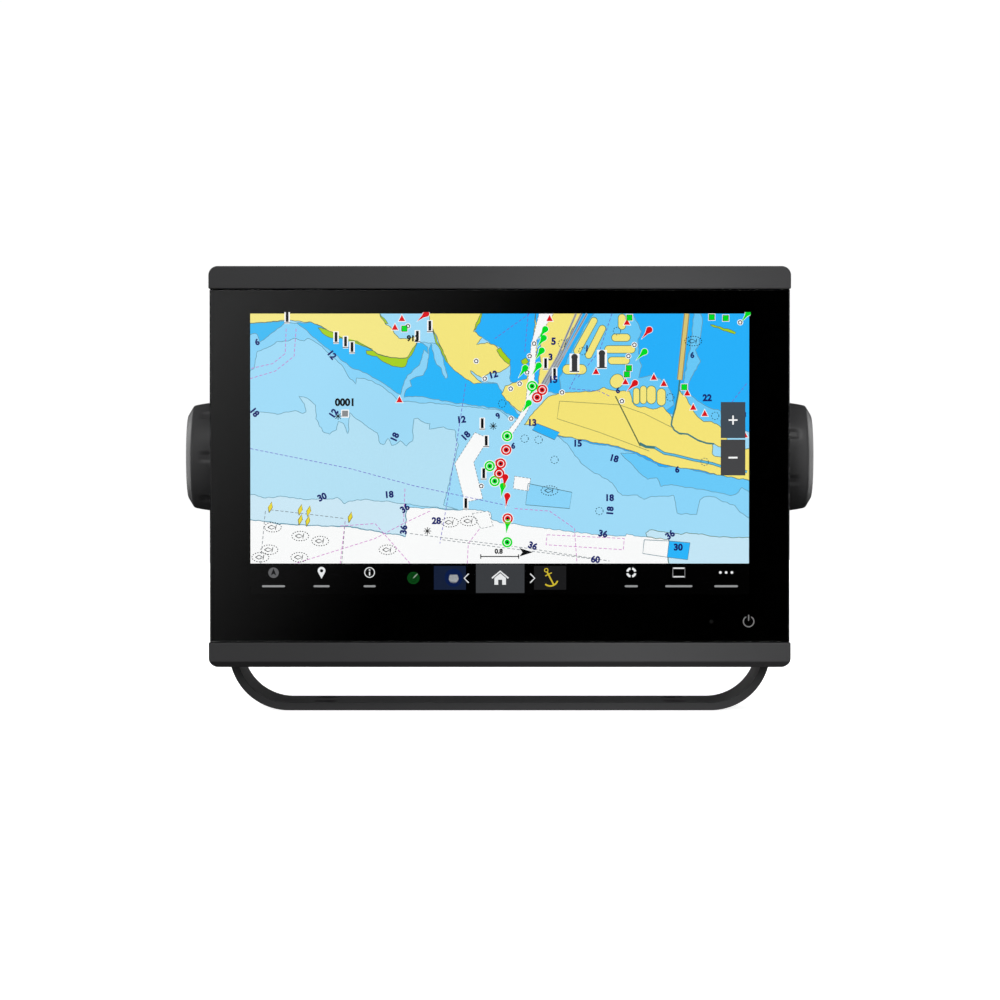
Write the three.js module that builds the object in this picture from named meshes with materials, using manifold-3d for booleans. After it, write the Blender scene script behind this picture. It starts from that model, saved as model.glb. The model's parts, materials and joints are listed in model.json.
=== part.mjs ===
// A nine inch marine chartplotter in its bail bracket. Millimetres, +Z up, screen facing -Y.
// The origin is on the bracket's underside, in the middle of the whole object.

import * as THREE from 'three';
import { mergeVertices } from 'three/addons/utils/BufferGeometryUtils.js';
import Module from 'manifold-3d';

const wasm = await Module();
wasm.setup();

// ---------------------------------------------------------------- driving dimensions

// screen and the black margins of the cover glass around it
const screenWidth = 199.2;
const screenHeight = 112.1;
const sideMargin = 16.65;
const browMargin = 18.95;
const chinMargin = 29.2;

// front: glass, trim caps and frame
const glassThickness = 2;
const glassInset = 0.65;
const topTrimHeight = 9.15;
const bottomTrimHeight = 9.95;
const trimCornerRadius = 3.7;
const trimWall = 2;
const trimUnderEdge = 2.3;
const frameFloor = 2.3;

// layers behind the glass
const inkThickness = 0.1;
const tapeThickness = 0.3;
const tapeWidth = 3;
const panelThickness = 1.5;
const panelBorder = 3.4;
const backlightThickness = 4.2;
const trayWall = 0.8;

// rear housing
const bodyDepth = 66;
const bodyInset = 12.5;
const bodyWall = 2.5;
const bodyCornerRadius = 12;
const bodyDraft = 7;
const connectorProud = 9;

// pivot, bracket and how the display stands in it
const standHeight = 18.4;
const pivotAboveMiddle = 3.7;
const pivotDepth = 42;
const plateThickness = 3.1;
const bendRadius = 24;
const bandWidth = 46;
const armEndRadius = 20;
const baseHoleSpacingX = 142;
const baseHoleSpacingY = 26;
const baseHoleRadius = 2.75;

// clamp: bushes, washers, knobs and their threaded studs
const bushFlange = 1.5;
const bushFlangeRadius = 15;
const keyWidth = 12;
const keyHeight = 14;
const pivotBossRadius = 17;
const studRadius = 3.9;
const washerRadius = 12;
const washerThickness = 1.2;
const knobRadius = 22;
const knobLength = 16.2;
const knobFlutes = 7;
const insertRadius = 6;
const insertLength = 11.8;

// electronics
const boardWidth = 160;
const boardHeight = 90;
const boardThickness = 1.6;
const chassisThickness = 1.5;
const standoffLength = 8.2;

// connector bay and card bay in the rear face
const connectorPitch = 27;
const bayHeight = 34;
const bayDepth = 6.5;
const bayRise = 14;
const cardBayWidth = 44;
const cardBayHeight = 26;
const cardBayDepth = 12;
const doorThickness = 2.5;
const barrelRadius = 2;

// clearances
const fit = 0.3;
const thread = 0.3;
const film = 0.05;

// ---------------------------------------------------------------- derived places

const displayWidth = screenWidth + 2 * sideMargin;
const displayHeight = screenHeight + browMargin + chinMargin;
const halfWidth = displayWidth / 2;
const displayBottom = standHeight;
const displayTop = displayBottom + displayHeight;
const screenBottom = displayBottom + chinMargin;
const screenTop = screenBottom + screenHeight;

// depths run back from the glass, and the whole object is centred in Y
const overallDepth = bodyDepth + connectorProud;
const deep = (distance) => distance - overallDepth / 2;

const glassHalf = halfWidth - glassInset;
const glassBottom = displayBottom + bottomTrimHeight + fit;
const glassTop = displayTop - topTrimHeight - fit;
const inkFront = glassThickness + film;
const inkBack = inkFront + inkThickness;
const tapeFront = inkBack + film;
const frameFront = tapeFront + tapeThickness + film;
const panelFront = inkBack + 3 * film;
const panelBack = panelFront + panelThickness;
const backlightFront = panelBack + fit;
const trayFloorFront = backlightFront + backlightThickness + fit;
const trayBack = trayFloorFront + trayWall;
const bezelDepth = trayBack + fit + frameFloor;
const panelHalf = screenWidth / 2 + panelBorder;
const panelBottom = screenBottom - panelBorder - 0.5;
const panelTop = screenTop + panelBorder;
const trayReach = fit + trayWall;

const tabHalf = halfWidth - trimWall - fit;
const tabBottom = displayBottom + trimWall + fit;
const tabTop = displayTop - trimWall - fit;

const bodyHalf = halfWidth - bodyInset;
const bodyFront = bezelDepth + fit;
const bodyBottom = tabBottom + 2 * film;
const bodyTop = tabTop - 2 * film;
const bodyMiddle = (bodyBottom + bodyTop) / 2;
const bodyHalfHeight = (bodyTop - bodyBottom) / 2;
const rearHalf = bodyHalf - bodyDraft;
const rearHalfHeight = bodyHalfHeight - bodyDraft;
const rearInside = bodyDepth - bodyWall;

const pivotY = deep(pivotDepth);
const pivotZ = displayBottom + displayHeight / 2 + pivotAboveMiddle;
const bossFace = bodyHalf + fit;
const bushInner = bossFace + fit;
const armInner = bushInner + bushFlange + fit;
const armOuter = armInner + plateThickness;
const washerInner = armOuter + fit;
const knobInner = washerInner + washerThickness + fit;
const armTop = pivotZ + armEndRadius;
const boreRadius = studRadius + thread;

const chassisBack = bodyFront + chassisThickness;
const boardFront = chassisBack + standoffLength + fit;
const boardBack = boardFront + boardThickness;
const boardBottom = bodyMiddle - boardHeight / 2 + 5;
const boardTop = boardBottom + boardHeight;

const bayFloor = bodyDepth - bayDepth;
const bayBottom = bodyMiddle - rearHalfHeight + bayRise;
const bayTop = bayBottom + bayHeight;
const bayMiddle = (bayBottom + bayTop) / 2;
const bayHalf = (5 * connectorPitch + 14) / 2;

const cardRight = rearHalf - 15;
const cardLeft = cardRight - cardBayWidth;
const cardTop = bodyMiddle + rearHalfHeight - 22;
const cardBottom = cardTop - cardBayHeight;
const cardMiddleX = (cardLeft + cardRight) / 2;
const cardMiddleZ = (cardBottom + cardTop) / 2;
const cardFloor = bodyDepth - cardBayDepth;
const rebate = 2;
const hingeDepth = bodyDepth - doorThickness + 0.9;
const hingeZ = cardTop + rebate + barrelRadius;

// ---------------------------------------------------------------- finishes

const finish = (color, roughness, metalness = 0) =>
  new THREE.MeshStandardMaterial({ color, roughness, metalness });

const trimPlastic = finish(0x3c3d3f, 0.42);
const casePlastic = finish(0x2b2c2e, 0.6);
const knobPlastic = finish(0x333436, 0.5);
const coatedAluminium = finish(0x37383a, 0.55, 0.2);
const glossyGlass = finish(0x0a0b0c, 0.05);
const blackInk = finish(0x050505, 0.3);
const screenGlass = finish(0x9fc4dd, 0.2);
const whitePlastic = finish(0xe8e8e4, 0.5);
const darkRubber = finish(0x1c1c1c, 0.85);
const nylon = finish(0x202122, 0.55);
const steel = finish(0xb4b6b8, 0.3, 1);
const brass = finish(0xc09a4c, 0.3, 1);
const aluminium = finish(0xa9acb0, 0.4, 1);
const boardLaminate = finish(0x14532f, 0.5);
const ceramic = finish(0xc9b48a, 0.5);
const amberFilm = finish(0xa9641a, 0.4);
const labelFilm = finish(0xb9bbbd, 0.4);

// ---------------------------------------------------------------- solids

// A closed geometry with its shared vertices merged, as a solid.
function solid(geometry) {
  geometry.deleteAttribute('normal');
  geometry.deleteAttribute('uv');
  const merged = mergeVertices(geometry, 1e-4);
  const corners = merged.index.array;
  const triangles = [];
  for (let i = 0; i < corners.length; i += 3) {
    const [a, b, c] = corners.slice(i, i + 3);
    if (a !== b && b !== c && c !== a) triangles.push(a, b, c);
  }
  return new wasm.Manifold(new wasm.Mesh({
    numProp: 3,
    vertProperties: new Float32Array(merged.attributes.position.array),
    triVerts: new Uint32Array(triangles),
  }));
}

function block(x0, x1, y0, y1, z0, z1) {
  const geometry = new THREE.BoxGeometry(x1 - x0, y1 - y0, z1 - z0);
  geometry.translate((x0 + x1) / 2, (y0 + y1) / 2, (z0 + z1) / 2);
  return solid(geometry);
}

function rodX(radius, x0, x1, y, z, sides = 28) {
  const geometry = new THREE.CylinderGeometry(radius, radius, x1 - x0, sides);
  geometry.rotateZ(Math.PI / 2);
  geometry.translate((x0 + x1) / 2, y, z);
  return solid(geometry);
}

function rodY(radius, y0, y1, x, z, sides = 24) {
  const geometry = new THREE.CylinderGeometry(radius, radius, y1 - y0, sides);
  geometry.translate(x, (y0 + y1) / 2, z);
  return solid(geometry);
}

// A cone frustum standing along Z, for a countersink.
function coneZ(lowRadius, highRadius, z0, z1, x, y, sides = 16) {
  const geometry = new THREE.CylinderGeometry(highRadius, lowRadius, z1 - z0, sides);
  geometry.rotateX(Math.PI / 2);
  geometry.translate(x, y, (z0 + z1) / 2);
  return solid(geometry);
}

// An outline in the XZ plane, made as thick as y0 to y1.
function plateY(shape, y0, y1, curveSegments = 4) {
  const geometry = new THREE.ExtrudeGeometry(shape, { depth: y1 - y0, bevelEnabled: false, curveSegments });
  geometry.rotateX(Math.PI / 2);
  geometry.translate(0, y1, 0);
  return solid(geometry);
}

// An outline in the YZ plane, made as thick as x0 to x1.
function plateX(shape, x0, x1, curveSegments = 8) {
  const geometry = new THREE.ExtrudeGeometry(shape, { depth: x1 - x0, bevelEnabled: false, curveSegments });
  geometry.applyMatrix4(new THREE.Matrix4().set(0, 0, 1, x0, 1, 0, 0, 0, 0, 1, 0, 0, 0, 0, 0, 1));
  return solid(geometry);
}

function roundedRectangle(x0, x1, z0, z1, radius) {
  const shape = new THREE.Shape();
  shape.absarc(x1 - radius, z1 - radius, radius, 0, Math.PI / 2);
  shape.absarc(x0 + radius, z1 - radius, radius, Math.PI / 2, Math.PI);
  shape.absarc(x0 + radius, z0 + radius, radius, Math.PI, 1.5 * Math.PI);
  shape.absarc(x1 - radius, z0 + radius, radius, 1.5 * Math.PI, 2 * Math.PI);
  return shape;
}

// A rounded block that narrows evenly by the draft from its front to its back.
function draftedBlock(half, halfHeight, radius, y0, y1, draft) {
  const shape = roundedRectangle(-half, half, -halfHeight, halfHeight, radius);
  const options = { depth: y1 - y0, bevelEnabled: false, curveSegments: 4 };
  const geometry = new THREE.ExtrudeGeometry(shape, options);
  geometry.rotateX(Math.PI / 2);
  geometry.translate(0, y1, 0);
  const point = geometry.attributes.position;
  for (let i = 0; i < point.count; i += 1) {
    const share = (point.getY(i) - y0) / (y1 - y0);
    point.setX(i, point.getX(i) * (1 - (draft * share) / half));
    point.setZ(i, point.getZ(i) * (1 - (draft * share) / halfHeight));
  }
  geometry.translate(0, 0, bodyMiddle);
  return solid(geometry);
}

// A turned piece whose axis runs along X, outwards from x on the given side.
function turnedX(profile, side, x, sides = 35) {
  const geometry = new THREE.LatheGeometry(profile.map(([r, h]) => new THREE.Vector2(r, h)), sides);
  geometry.rotateZ(-side * Math.PI / 2);
  geometry.translate(side * x, pivotY, pivotZ);
  return solid(geometry);
}

// A turned piece whose axis runs along Y, backwards from the glass.
function turnedY(profile, x, z, sides = 20) {
  const geometry = new THREE.LatheGeometry(profile.map(([r, d]) => new THREE.Vector2(r, deep(d))), sides);
  geometry.translate(x, 0, z);
  return solid(geometry);
}

// The low and high X of a stretch that lies on one side.
const span = (side, near, far) => (side > 0 ? [near, far] : [-far, -near]);

const chartplotter = new THREE.Group();

function add(name, piece, material) {
  const { vertProperties, triVerts } = piece.getMesh();
  const geometry = new THREE.BufferGeometry();
  geometry.setAttribute('position', new THREE.BufferAttribute(new Float32Array(vertProperties), 3));
  geometry.setIndex(new THREE.BufferAttribute(new Uint32Array(triVerts), 1));
  geometry.computeVertexNormals();
  const mesh = new THREE.Mesh(geometry, material);
  mesh.name = name;
  chartplotter.add(mesh);
}

// ---------------------------------------------------------------- bracket and clamp

// One strip of plate bent into a U, its arms tapered, with an open slot in the end of each.
function makeBracket() {
  const bendX = armOuter - bendRadius;
  const insideRadius = bendRadius - plateThickness;
  const outline = new THREE.Shape();
  outline.moveTo(-armOuter, armTop);
  outline.absarc(-bendX, bendRadius, bendRadius, Math.PI, 1.5 * Math.PI);
  outline.absarc(bendX, bendRadius, bendRadius, 1.5 * Math.PI, 2 * Math.PI);
  outline.lineTo(armOuter, armTop);
  outline.lineTo(armInner, armTop);
  outline.absarc(bendX, bendRadius, insideRadius, 0, -Math.PI / 2, true);
  outline.absarc(-bendX, bendRadius, insideRadius, -Math.PI / 2, -Math.PI, true);
  outline.lineTo(-armInner, armTop);
  const halfBand = bandWidth / 2;
  let bracket = plateY(outline, pivotY - halfBand, pivotY + halfBand, 6);

  const shoulder = bendRadius + 6;
  const side = new THREE.Shape();
  side.moveTo(pivotY - halfBand, -1);
  side.lineTo(pivotY + halfBand, -1);
  side.lineTo(pivotY + halfBand, shoulder);
  side.absarc(pivotY, pivotZ, armEndRadius, 0, Math.PI);
  side.lineTo(pivotY - halfBand, shoulder);
  bracket = bracket.intersect(plateX(side, -armOuter - 1, armOuter + 1));

  const slotHalf = keyWidth / 2 + fit;
  const reach = armOuter + 1;
  const slot = rodX(slotHalf, -reach, reach, pivotY, pivotZ)
    .add(block(-reach, reach, pivotY - slotHalf, pivotY + slotHalf, pivotZ, armTop + 1));
  bracket = bracket.subtract(slot);

  for (const x of [-baseHoleSpacingX / 2, baseHoleSpacingX / 2]) {
    for (const y of [-baseHoleSpacingY / 2, baseHoleSpacingY / 2]) {
      const sink = coneZ(baseHoleRadius, 2 * baseHoleRadius, 1, plateThickness, x, pivotY + y);
      const hole = coneZ(baseHoleRadius, baseHoleRadius, -1, plateThickness + 1, x, pivotY + y);
      bracket = bracket.subtract(sink).subtract(hole);
    }
  }
  add('bracket', bracket, coatedAluminium);
}

// A flanged bush whose flat-sided key rides in the arm's slot.
function makeBush(label, side) {
  const [flangeLow, flangeHigh] = span(side, bushInner, bushInner + bushFlange);
  const [keyLow, keyHigh] = span(side, bushInner, armOuter - fit);
  const half = keyWidth / 2;
  const bush = rodX(bushFlangeRadius, flangeLow, flangeHigh, pivotY, pivotZ)
    .add(rodX(half, keyLow, keyHigh, pivotY, pivotZ))
    .add(block(keyLow, keyHigh, pivotY - half, pivotY + half, pivotZ, pivotZ + keyHeight - half))
    .subtract(rodX(boreRadius, keyLow - 1, keyHigh + 1, pivotY, pivotZ));
  add(`bush_${label}`, bush, nylon);
}

function makeWasher(label, side) {
  const [low, high] = span(side, washerInner, washerInner + washerThickness);
  const washer = rodX(washerRadius, low, high, pivotY, pivotZ)
    .subtract(rodX(boreRadius, low - 1, high + 1, pivotY, pivotZ));
  add(`washer_${label}`, washer, steel);
}

// A moulded grip with shallow finger flutes, a cap pressed in its end and a steel stud in its hub.
function makeKnob(label, side, turn) {
  const capRadius = 0.72 * knobRadius;
  const capThickness = 1.5;
  const boreDepth = knobLength - 7;
  let grip = turnedX([
    [0, boreDepth],
    [boreRadius, boreDepth],
    [boreRadius, 0],
    [knobRadius - 1.4, 0],
    [knobRadius, 2.6],
    [knobRadius, 7.2],
    [knobRadius - 1.1, knobLength - 2.6],
    [knobRadius - 4.3, knobLength - 0.6],
    [knobRadius - 6, knobLength],
    [capRadius, knobLength],
    [capRadius, knobLength - capThickness - fit],
    [0, knobLength - capThickness - fit],
  ], side, knobInner);
  const fluteRadius = 4;
  const fluteDepth = 0.8;
  const [fluteLow, fluteHigh] = span(side, knobInner - 1, knobInner + 10);
  for (let i = 0; i < knobFlutes; i += 1) {
    const angle = ((i + turn) / knobFlutes) * 2 * Math.PI;
    const reach = knobRadius + fluteRadius - fluteDepth;
    const y = pivotY + reach * Math.cos(angle);
    const z = pivotZ + reach * Math.sin(angle);
    grip = grip.subtract(rodX(fluteRadius, fluteLow, fluteHigh, y, z, 12));
  }
  add(`knob_${label}`, grip, knobPlastic);

  const [capLow, capHigh] = span(side, knobInner + knobLength - capThickness, knobInner + knobLength);
  add(`knob_cap_${label}`, rodX(capRadius - fit, capLow, capHigh, pivotY, pivotZ, 42), knobPlastic);

  const [studLow, studHigh] = span(side, bossFace - insertLength + 1, knobInner + boreDepth - fit);
  add(`stud_${label}`, rodX(studRadius, studLow, studHigh, pivotY, pivotZ, 24), steel);
}

function makeInsert(label, side) {
  const face = bossFace - fit;
  const [low, high] = span(side, face - insertLength, face);
  const insert = rodX(insertRadius, low, high, pivotY, pivotZ, 24)
    .subtract(rodX(boreRadius, low - 1, high + 1, pivotY, pivotZ, 24));
  add(`insert_${label}`, insert, brass);
}

// ---------------------------------------------------------------- front

// The two trim caps: shells over the frame's ends, the lower one with a sloping under edge.
function makeTrims() {
  const topOutline = new THREE.Shape();
  const topEdge = displayTop - topTrimHeight;
  const r = trimCornerRadius;
  topOutline.moveTo(-halfWidth, topEdge);
  topOutline.lineTo(halfWidth, topEdge);
  topOutline.absarc(halfWidth - r, displayTop - r, r, 0, Math.PI / 2);
  topOutline.absarc(-halfWidth + r, displayTop - r, r, Math.PI / 2, Math.PI);
  const pocketHalf = tabHalf + fit;
  const pocket = (low, high) => block(
    -pocketHalf, pocketHalf,
    deep(trimWall), deep(bezelDepth + 1),
    low, high,
  );
  const top = plateY(topOutline, deep(0), deep(bezelDepth)).subtract(pocket(topEdge - 1, tabTop + fit));
  add('trim_top', top, trimPlastic);

  const bottomEdge = displayBottom + bottomTrimHeight;
  const bottomOutline = new THREE.Shape();
  bottomOutline.moveTo(halfWidth, bottomEdge);
  bottomOutline.lineTo(-halfWidth, bottomEdge);
  bottomOutline.absarc(-halfWidth + r, displayBottom + r, r, Math.PI, 1.5 * Math.PI);
  bottomOutline.absarc(halfWidth - r, displayBottom + r, r, 1.5 * Math.PI, 2 * Math.PI);
  const slope = new THREE.Shape();
  slope.moveTo(deep(-1), displayBottom - 1);
  slope.lineTo(deep(trimUnderEdge + 1), displayBottom - 1);
  slope.lineTo(deep(trimUnderEdge), displayBottom);
  slope.lineTo(deep(0), displayBottom + trimUnderEdge);
  slope.lineTo(deep(-1), displayBottom + trimUnderEdge + 1);
  const bottom = plateY(bottomOutline, deep(0), deep(bezelDepth))
    .subtract(pocket(tabBottom - fit, bottomEdge + 1))
    .subtract(plateX(slope, -halfWidth - 1, halfWidth + 1));
  add('trim_bottom', bottom, trimPlastic);
}

const sensorX = screenWidth / 2 - 15;
const sensorZ = (displayBottom + bottomTrimHeight + screenBottom) / 2 - 1.3;
const sensorHalf = 1.6;

// Cover glass, its printed border and the tape that holds it to the frame.
function makeGlass() {
  const glass = block(-glassHalf, glassHalf, deep(0), deep(glassThickness), glassBottom, glassTop);
  add('cover_glass', glass, glossyGlass);

  const edge = 0.4;
  const printHalf = glassHalf - edge;
  const printBottom = glassBottom + edge;
  const printTop = glassTop - edge;
  const window = 0.6;
  const sensorHole = 0.9;
  const border = block(-printHalf, printHalf, deep(inkFront), deep(inkBack), printBottom, printTop)
    .subtract(block(
      -screenWidth / 2 - window, screenWidth / 2 + window,
      deep(inkFront - 1), deep(inkBack + 1),
      screenBottom - window, screenTop + window,
    ))
    .subtract(rodY(sensorHole, deep(inkFront - 1), deep(inkBack + 1), sensorX, sensorZ, 16));
  add('ink_border', border, blackInk);

  const tapeBack = tapeFront + tapeThickness;
  const tape = block(-printHalf, printHalf, deep(tapeFront), deep(tapeBack), printBottom, printTop)
    .subtract(block(
      -printHalf + tapeWidth, printHalf - tapeWidth,
      deep(tapeFront - 1), deep(tapeBack + 1),
      printBottom + tapeWidth, printTop - tapeWidth,
    ));
  add('glass_tape', tape, darkRubber);
}

// Panel, light guide and the pressed tray that holds the two together.
function makeScreenModule() {
  const layer = (front, back) => block(-panelHalf, panelHalf, deep(front), deep(back), panelBottom, panelTop);
  add('lcd_panel', layer(panelFront, panelBack), screenGlass);
  add('backlight', layer(backlightFront, backlightFront + backlightThickness), whitePlastic);
  const trayHalf = panelHalf + trayReach;
  const trayRim = frameFront + fit;
  const trayBottom = panelBottom - trayReach;
  const trayTop = panelTop + trayReach;
  const tray = block(-trayHalf, trayHalf, deep(trayRim), deep(trayBack), trayBottom, trayTop)
    .subtract(block(
      -panelHalf - fit, panelHalf + fit,
      deep(trayRim - 1), deep(trayFloorFront),
      panelBottom - fit, panelTop + fit,
    ));
  add('lcd_tray', tray, aluminium);
}

const frameScrewX = [-bodyHalf + bodyCornerRadius + 2.5, 0, bodyHalf - bodyCornerRadius - 2.5];
const frameScrewZ = [bodyBottom + 4.2, bodyTop - 3.9];
const frameScrewHead = 2.8;
const frameScrewHeadHeight = 2.2;
const frameScrewShank = 1.5;
const frameScrewLength = 17;
const chassisScrewShank = 1.1;
const boardScrewShank = 1.2;
const chassisScrewX = bodyHalf - bodyWall - 3.5;
const chassisScrewZ = [bodyMiddle - 38, bodyMiddle + 38];
const sealWidth = 1.4;
const sealDepth = 1.2;

// A ring along the middle of the housing's wall, reaching as far in and out from there as given.
function wallRing(inward, outward, y0, y1) {
  const inset = bodyWall / 2;
  const ring = (grow) => roundedRectangle(
    -bodyHalf + inset - grow, bodyHalf - inset + grow,
    bodyBottom + inset - grow, bodyTop - inset + grow,
    bodyCornerRadius - inset + grow,
  );
  return plateY(ring(outward), y0, y1).subtract(plateY(ring(-inward), y0 - 1, y1 + 1));
}

// the slot under the panel that lets the touch ribbon through the frame and the chassis
const touchSlotX = [-62, -38];
const touchSlotHeight = 2.5;
const touchSlotDrop = 1.7;
const touchSlotTop = panelBottom - trayReach - fit - touchSlotDrop;

// The moulded frame: a pocket for the tray in front, a floor with a window behind it.
function makeFrontFrame() {
  const rear = deep(bezelDepth);
  const front = deep(frameFront);
  const pocketHalf = panelHalf + trayReach + fit;
  const pocketBottom = panelBottom - trayReach - fit;
  const pocketTop = panelTop + trayReach + fit;
  const pocketBack = bezelDepth - frameFloor;
  const floorRim = 9;
  let frame = block(-glassHalf - fit, glassHalf + fit, front, rear, glassBottom, glassTop)
    .add(block(-tabHalf, tabHalf, front, rear, tabBottom, tabTop))
    .subtract(block(-pocketHalf, pocketHalf, front - 1, deep(pocketBack), pocketBottom, pocketTop))
    .subtract(block(
      -pocketHalf + floorRim, pocketHalf - floorRim,
      front, rear + 1,
      pocketBottom + floorRim, pocketTop - floorRim,
    ))
    .subtract(block(
      sensorX - sensorHalf - 0.4, sensorX + sensorHalf + 0.4,
      front - 1, front + 2,
      sensorZ - sensorHalf - 0.4, sensorZ + sensorHalf + 0.4,
    ))
    .subtract(block(...touchSlotX, front - 1, rear + 1, touchSlotTop - touchSlotHeight, touchSlotTop))
    .subtract(wallRing(sealWidth / 2 + fit, bodyWall / 2 + fit, deep(bezelDepth - sealDepth), rear + 1));
  for (const z of frameScrewZ) {
    for (const x of frameScrewX) {
      frame = frame
        .subtract(rodY(frameScrewHead + fit, front - 1, front + 2 * fit + frameScrewHeadHeight, x, z, 12))
        .subtract(rodY(frameScrewShank + fit, front, rear + 1, x, z, 8));
    }
  }
  for (const z of chassisScrewZ) {
    for (const x of [-chassisScrewX, chassisScrewX]) {
      frame = frame.subtract(rodY(chassisScrewShank + fit, deep(bezelDepth - 1.3), rear + 1, x, z, 8));
    }
  }
  add('front_frame', frame, casePlastic);
  const seal = wallRing(
    sealWidth / 2, sealWidth / 2,
    deep(bezelDepth - sealDepth + film), deep(bezelDepth + 3 * film),
  );
  add('housing_seal', seal, darkRubber);
}

// A screw whose head faces -Y (side -1) or +Y (side 1), its shank running the other way.
function screw(headRadius, headHeight, shankRadius, seat, length, side, x, z) {
  const head = side > 0 ? [seat, seat + headHeight] : [seat - headHeight, seat];
  const shank = side > 0 ? [seat - length, seat + 1] : [seat - 1, seat + length];
  const socket = side > 0 ? [head[1] - 1, head[1] + 1] : [head[0] - 1, head[0] + 1];
  return rodY(headRadius, deep(head[0]), deep(head[1]), x, z, 12)
    .add(rodY(shankRadius, deep(shank[0]), deep(shank[1]), x, z, 8))
    .subtract(rodY(headRadius * 0.45, deep(socket[0]), deep(socket[1]), x, z, 6));
}

function makeFrameScrews() {
  let number = 1;
  for (const z of frameScrewZ) {
    for (const x of frameScrewX) {
      const seat = frameFront + fit + frameScrewHeadHeight;
      const sizes = [frameScrewHead, frameScrewHeadHeight, frameScrewShank, seat, frameScrewLength];
      const piece = screw(...sizes, -1, x, z);
      add(`frame_screw_${number}`, piece, steel);
      number += 1;
    }
  }
}

// ---------------------------------------------------------------- electronics

const standoffX = boardWidth / 2 - 6;
const standoffZ = [boardBottom + 6, boardTop - 6];
const ribbonHalf = 12;
const ribbonZ = boardBottom + 14;

// A sheet behind the screen that carries the board on four standoffs and spreads its heat.
function makeChassis() {
  const plateHalf = bodyHalf - bodyWall - 0.7;
  const clearOfScrews = frameScrewHead + 0.9;
  const standoffRadius = 3;
  const outline = roundedRectangle(
    -plateHalf, plateHalf,
    frameScrewZ[0] + clearOfScrews, frameScrewZ[1] - clearOfScrews,
    bodyCornerRadius,
  );
  let plate = plateY(outline, deep(bodyFront), deep(chassisBack), 2);
  for (const z of standoffZ) {
    for (const x of [-standoffX, standoffX]) {
      plate = plate
        .add(rodY(standoffRadius, deep(chassisBack - 0.5), deep(chassisBack + standoffLength), x, z, 8))
        .subtract(rodY(boardScrewShank + fit, deep(chassisBack + 1), deep(boardFront), x, z, 8));
    }
  }
  for (const z of chassisScrewZ) {
    for (const x of [-chassisScrewX, chassisScrewX]) {
      const hole = rodY(chassisScrewShank + fit, deep(bodyFront - 1), deep(chassisBack + 1), x, z, 8);
      plate = plate.subtract(hole);
    }
  }
  const through = [deep(bezelDepth), deep(chassisBack + 1)];
  plate = plate
    .subtract(block(-ribbonHalf - 2, ribbonHalf + 2, ...through, ribbonZ - 2, ribbonZ + 3))
    .subtract(block(...touchSlotX, ...through, touchSlotTop - touchSlotHeight, touchSlotTop + 0.5));
  add('chassis_plate', plate, aluminium);

  let number = 1;
  for (const z of chassisScrewZ) {
    for (const x of [-chassisScrewX, chassisScrewX]) {
      const piece = screw(2.1, 1.4, chassisScrewShank, chassisBack + fit, 2.8, 1, x, z);
      add(`chassis_screw_${number}`, piece, steel);
      number += 1;
    }
  }
}

const cardReaderHalf = 15;
const readerNose = 13;
const readerNoseHalfHeight = 5.5;
const cardFloorWall = 2;

function makeBoard() {
  const boardHalf = boardWidth / 2;
  let board = block(-boardHalf, boardHalf, deep(boardFront), deep(boardBack), boardBottom, boardTop);
  let number = 1;
  for (const z of standoffZ) {
    for (const x of [-standoffX, standoffX]) {
      board = board.subtract(rodY(boardScrewShank + fit, deep(boardFront - 1), deep(boardBack + 1), x, z, 8));
      add(`board_screw_${number}`, screw(2.5, 1.8, boardScrewShank, boardBack + fit, 8.5, 1, x, z), steel);
      number += 1;
    }
  }
  add('main_board', board, boardLaminate);

  const seat = boardBack + fit;
  const shieldX = -8;
  const shieldZ = bodyMiddle - 4;
  const square = (half, front, back) => block(
    shieldX - half, shieldX + half,
    deep(front), deep(back),
    shieldZ - half, shieldZ + half,
  );
  const shieldHalf = 22;
  const shield = square(shieldHalf, seat, seat + 5).subtract(square(shieldHalf - 1, seat - 1, seat + 4.5));
  add('processor_shield', shield, steel);
  add('gps_antenna', block(-62, -37, deep(seat), deep(seat + 4), boardTop - 30, boardTop - 5), ceramic);
  const buzzerX = 50;
  const buzzerZ = boardBottom + 16;
  const buzzer = rodY(6, deep(seat), deep(seat + 6), buzzerX, buzzerZ)
    .subtract(rodY(1.2, deep(seat + 4), deep(seat + 7), buzzerX, buzzerZ, 12));
  add('buzzer', buzzer, blackInk);
  const sensor = block(
    sensorX - sensorHalf, sensorX + sensorHalf,
    deep(tapeFront + 2 * film), deep(frameFront + 1.4),
    sensorZ - sensorHalf, sensorZ + sensorHalf,
  );
  add('light_sensor', sensor, ceramic);
}

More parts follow.
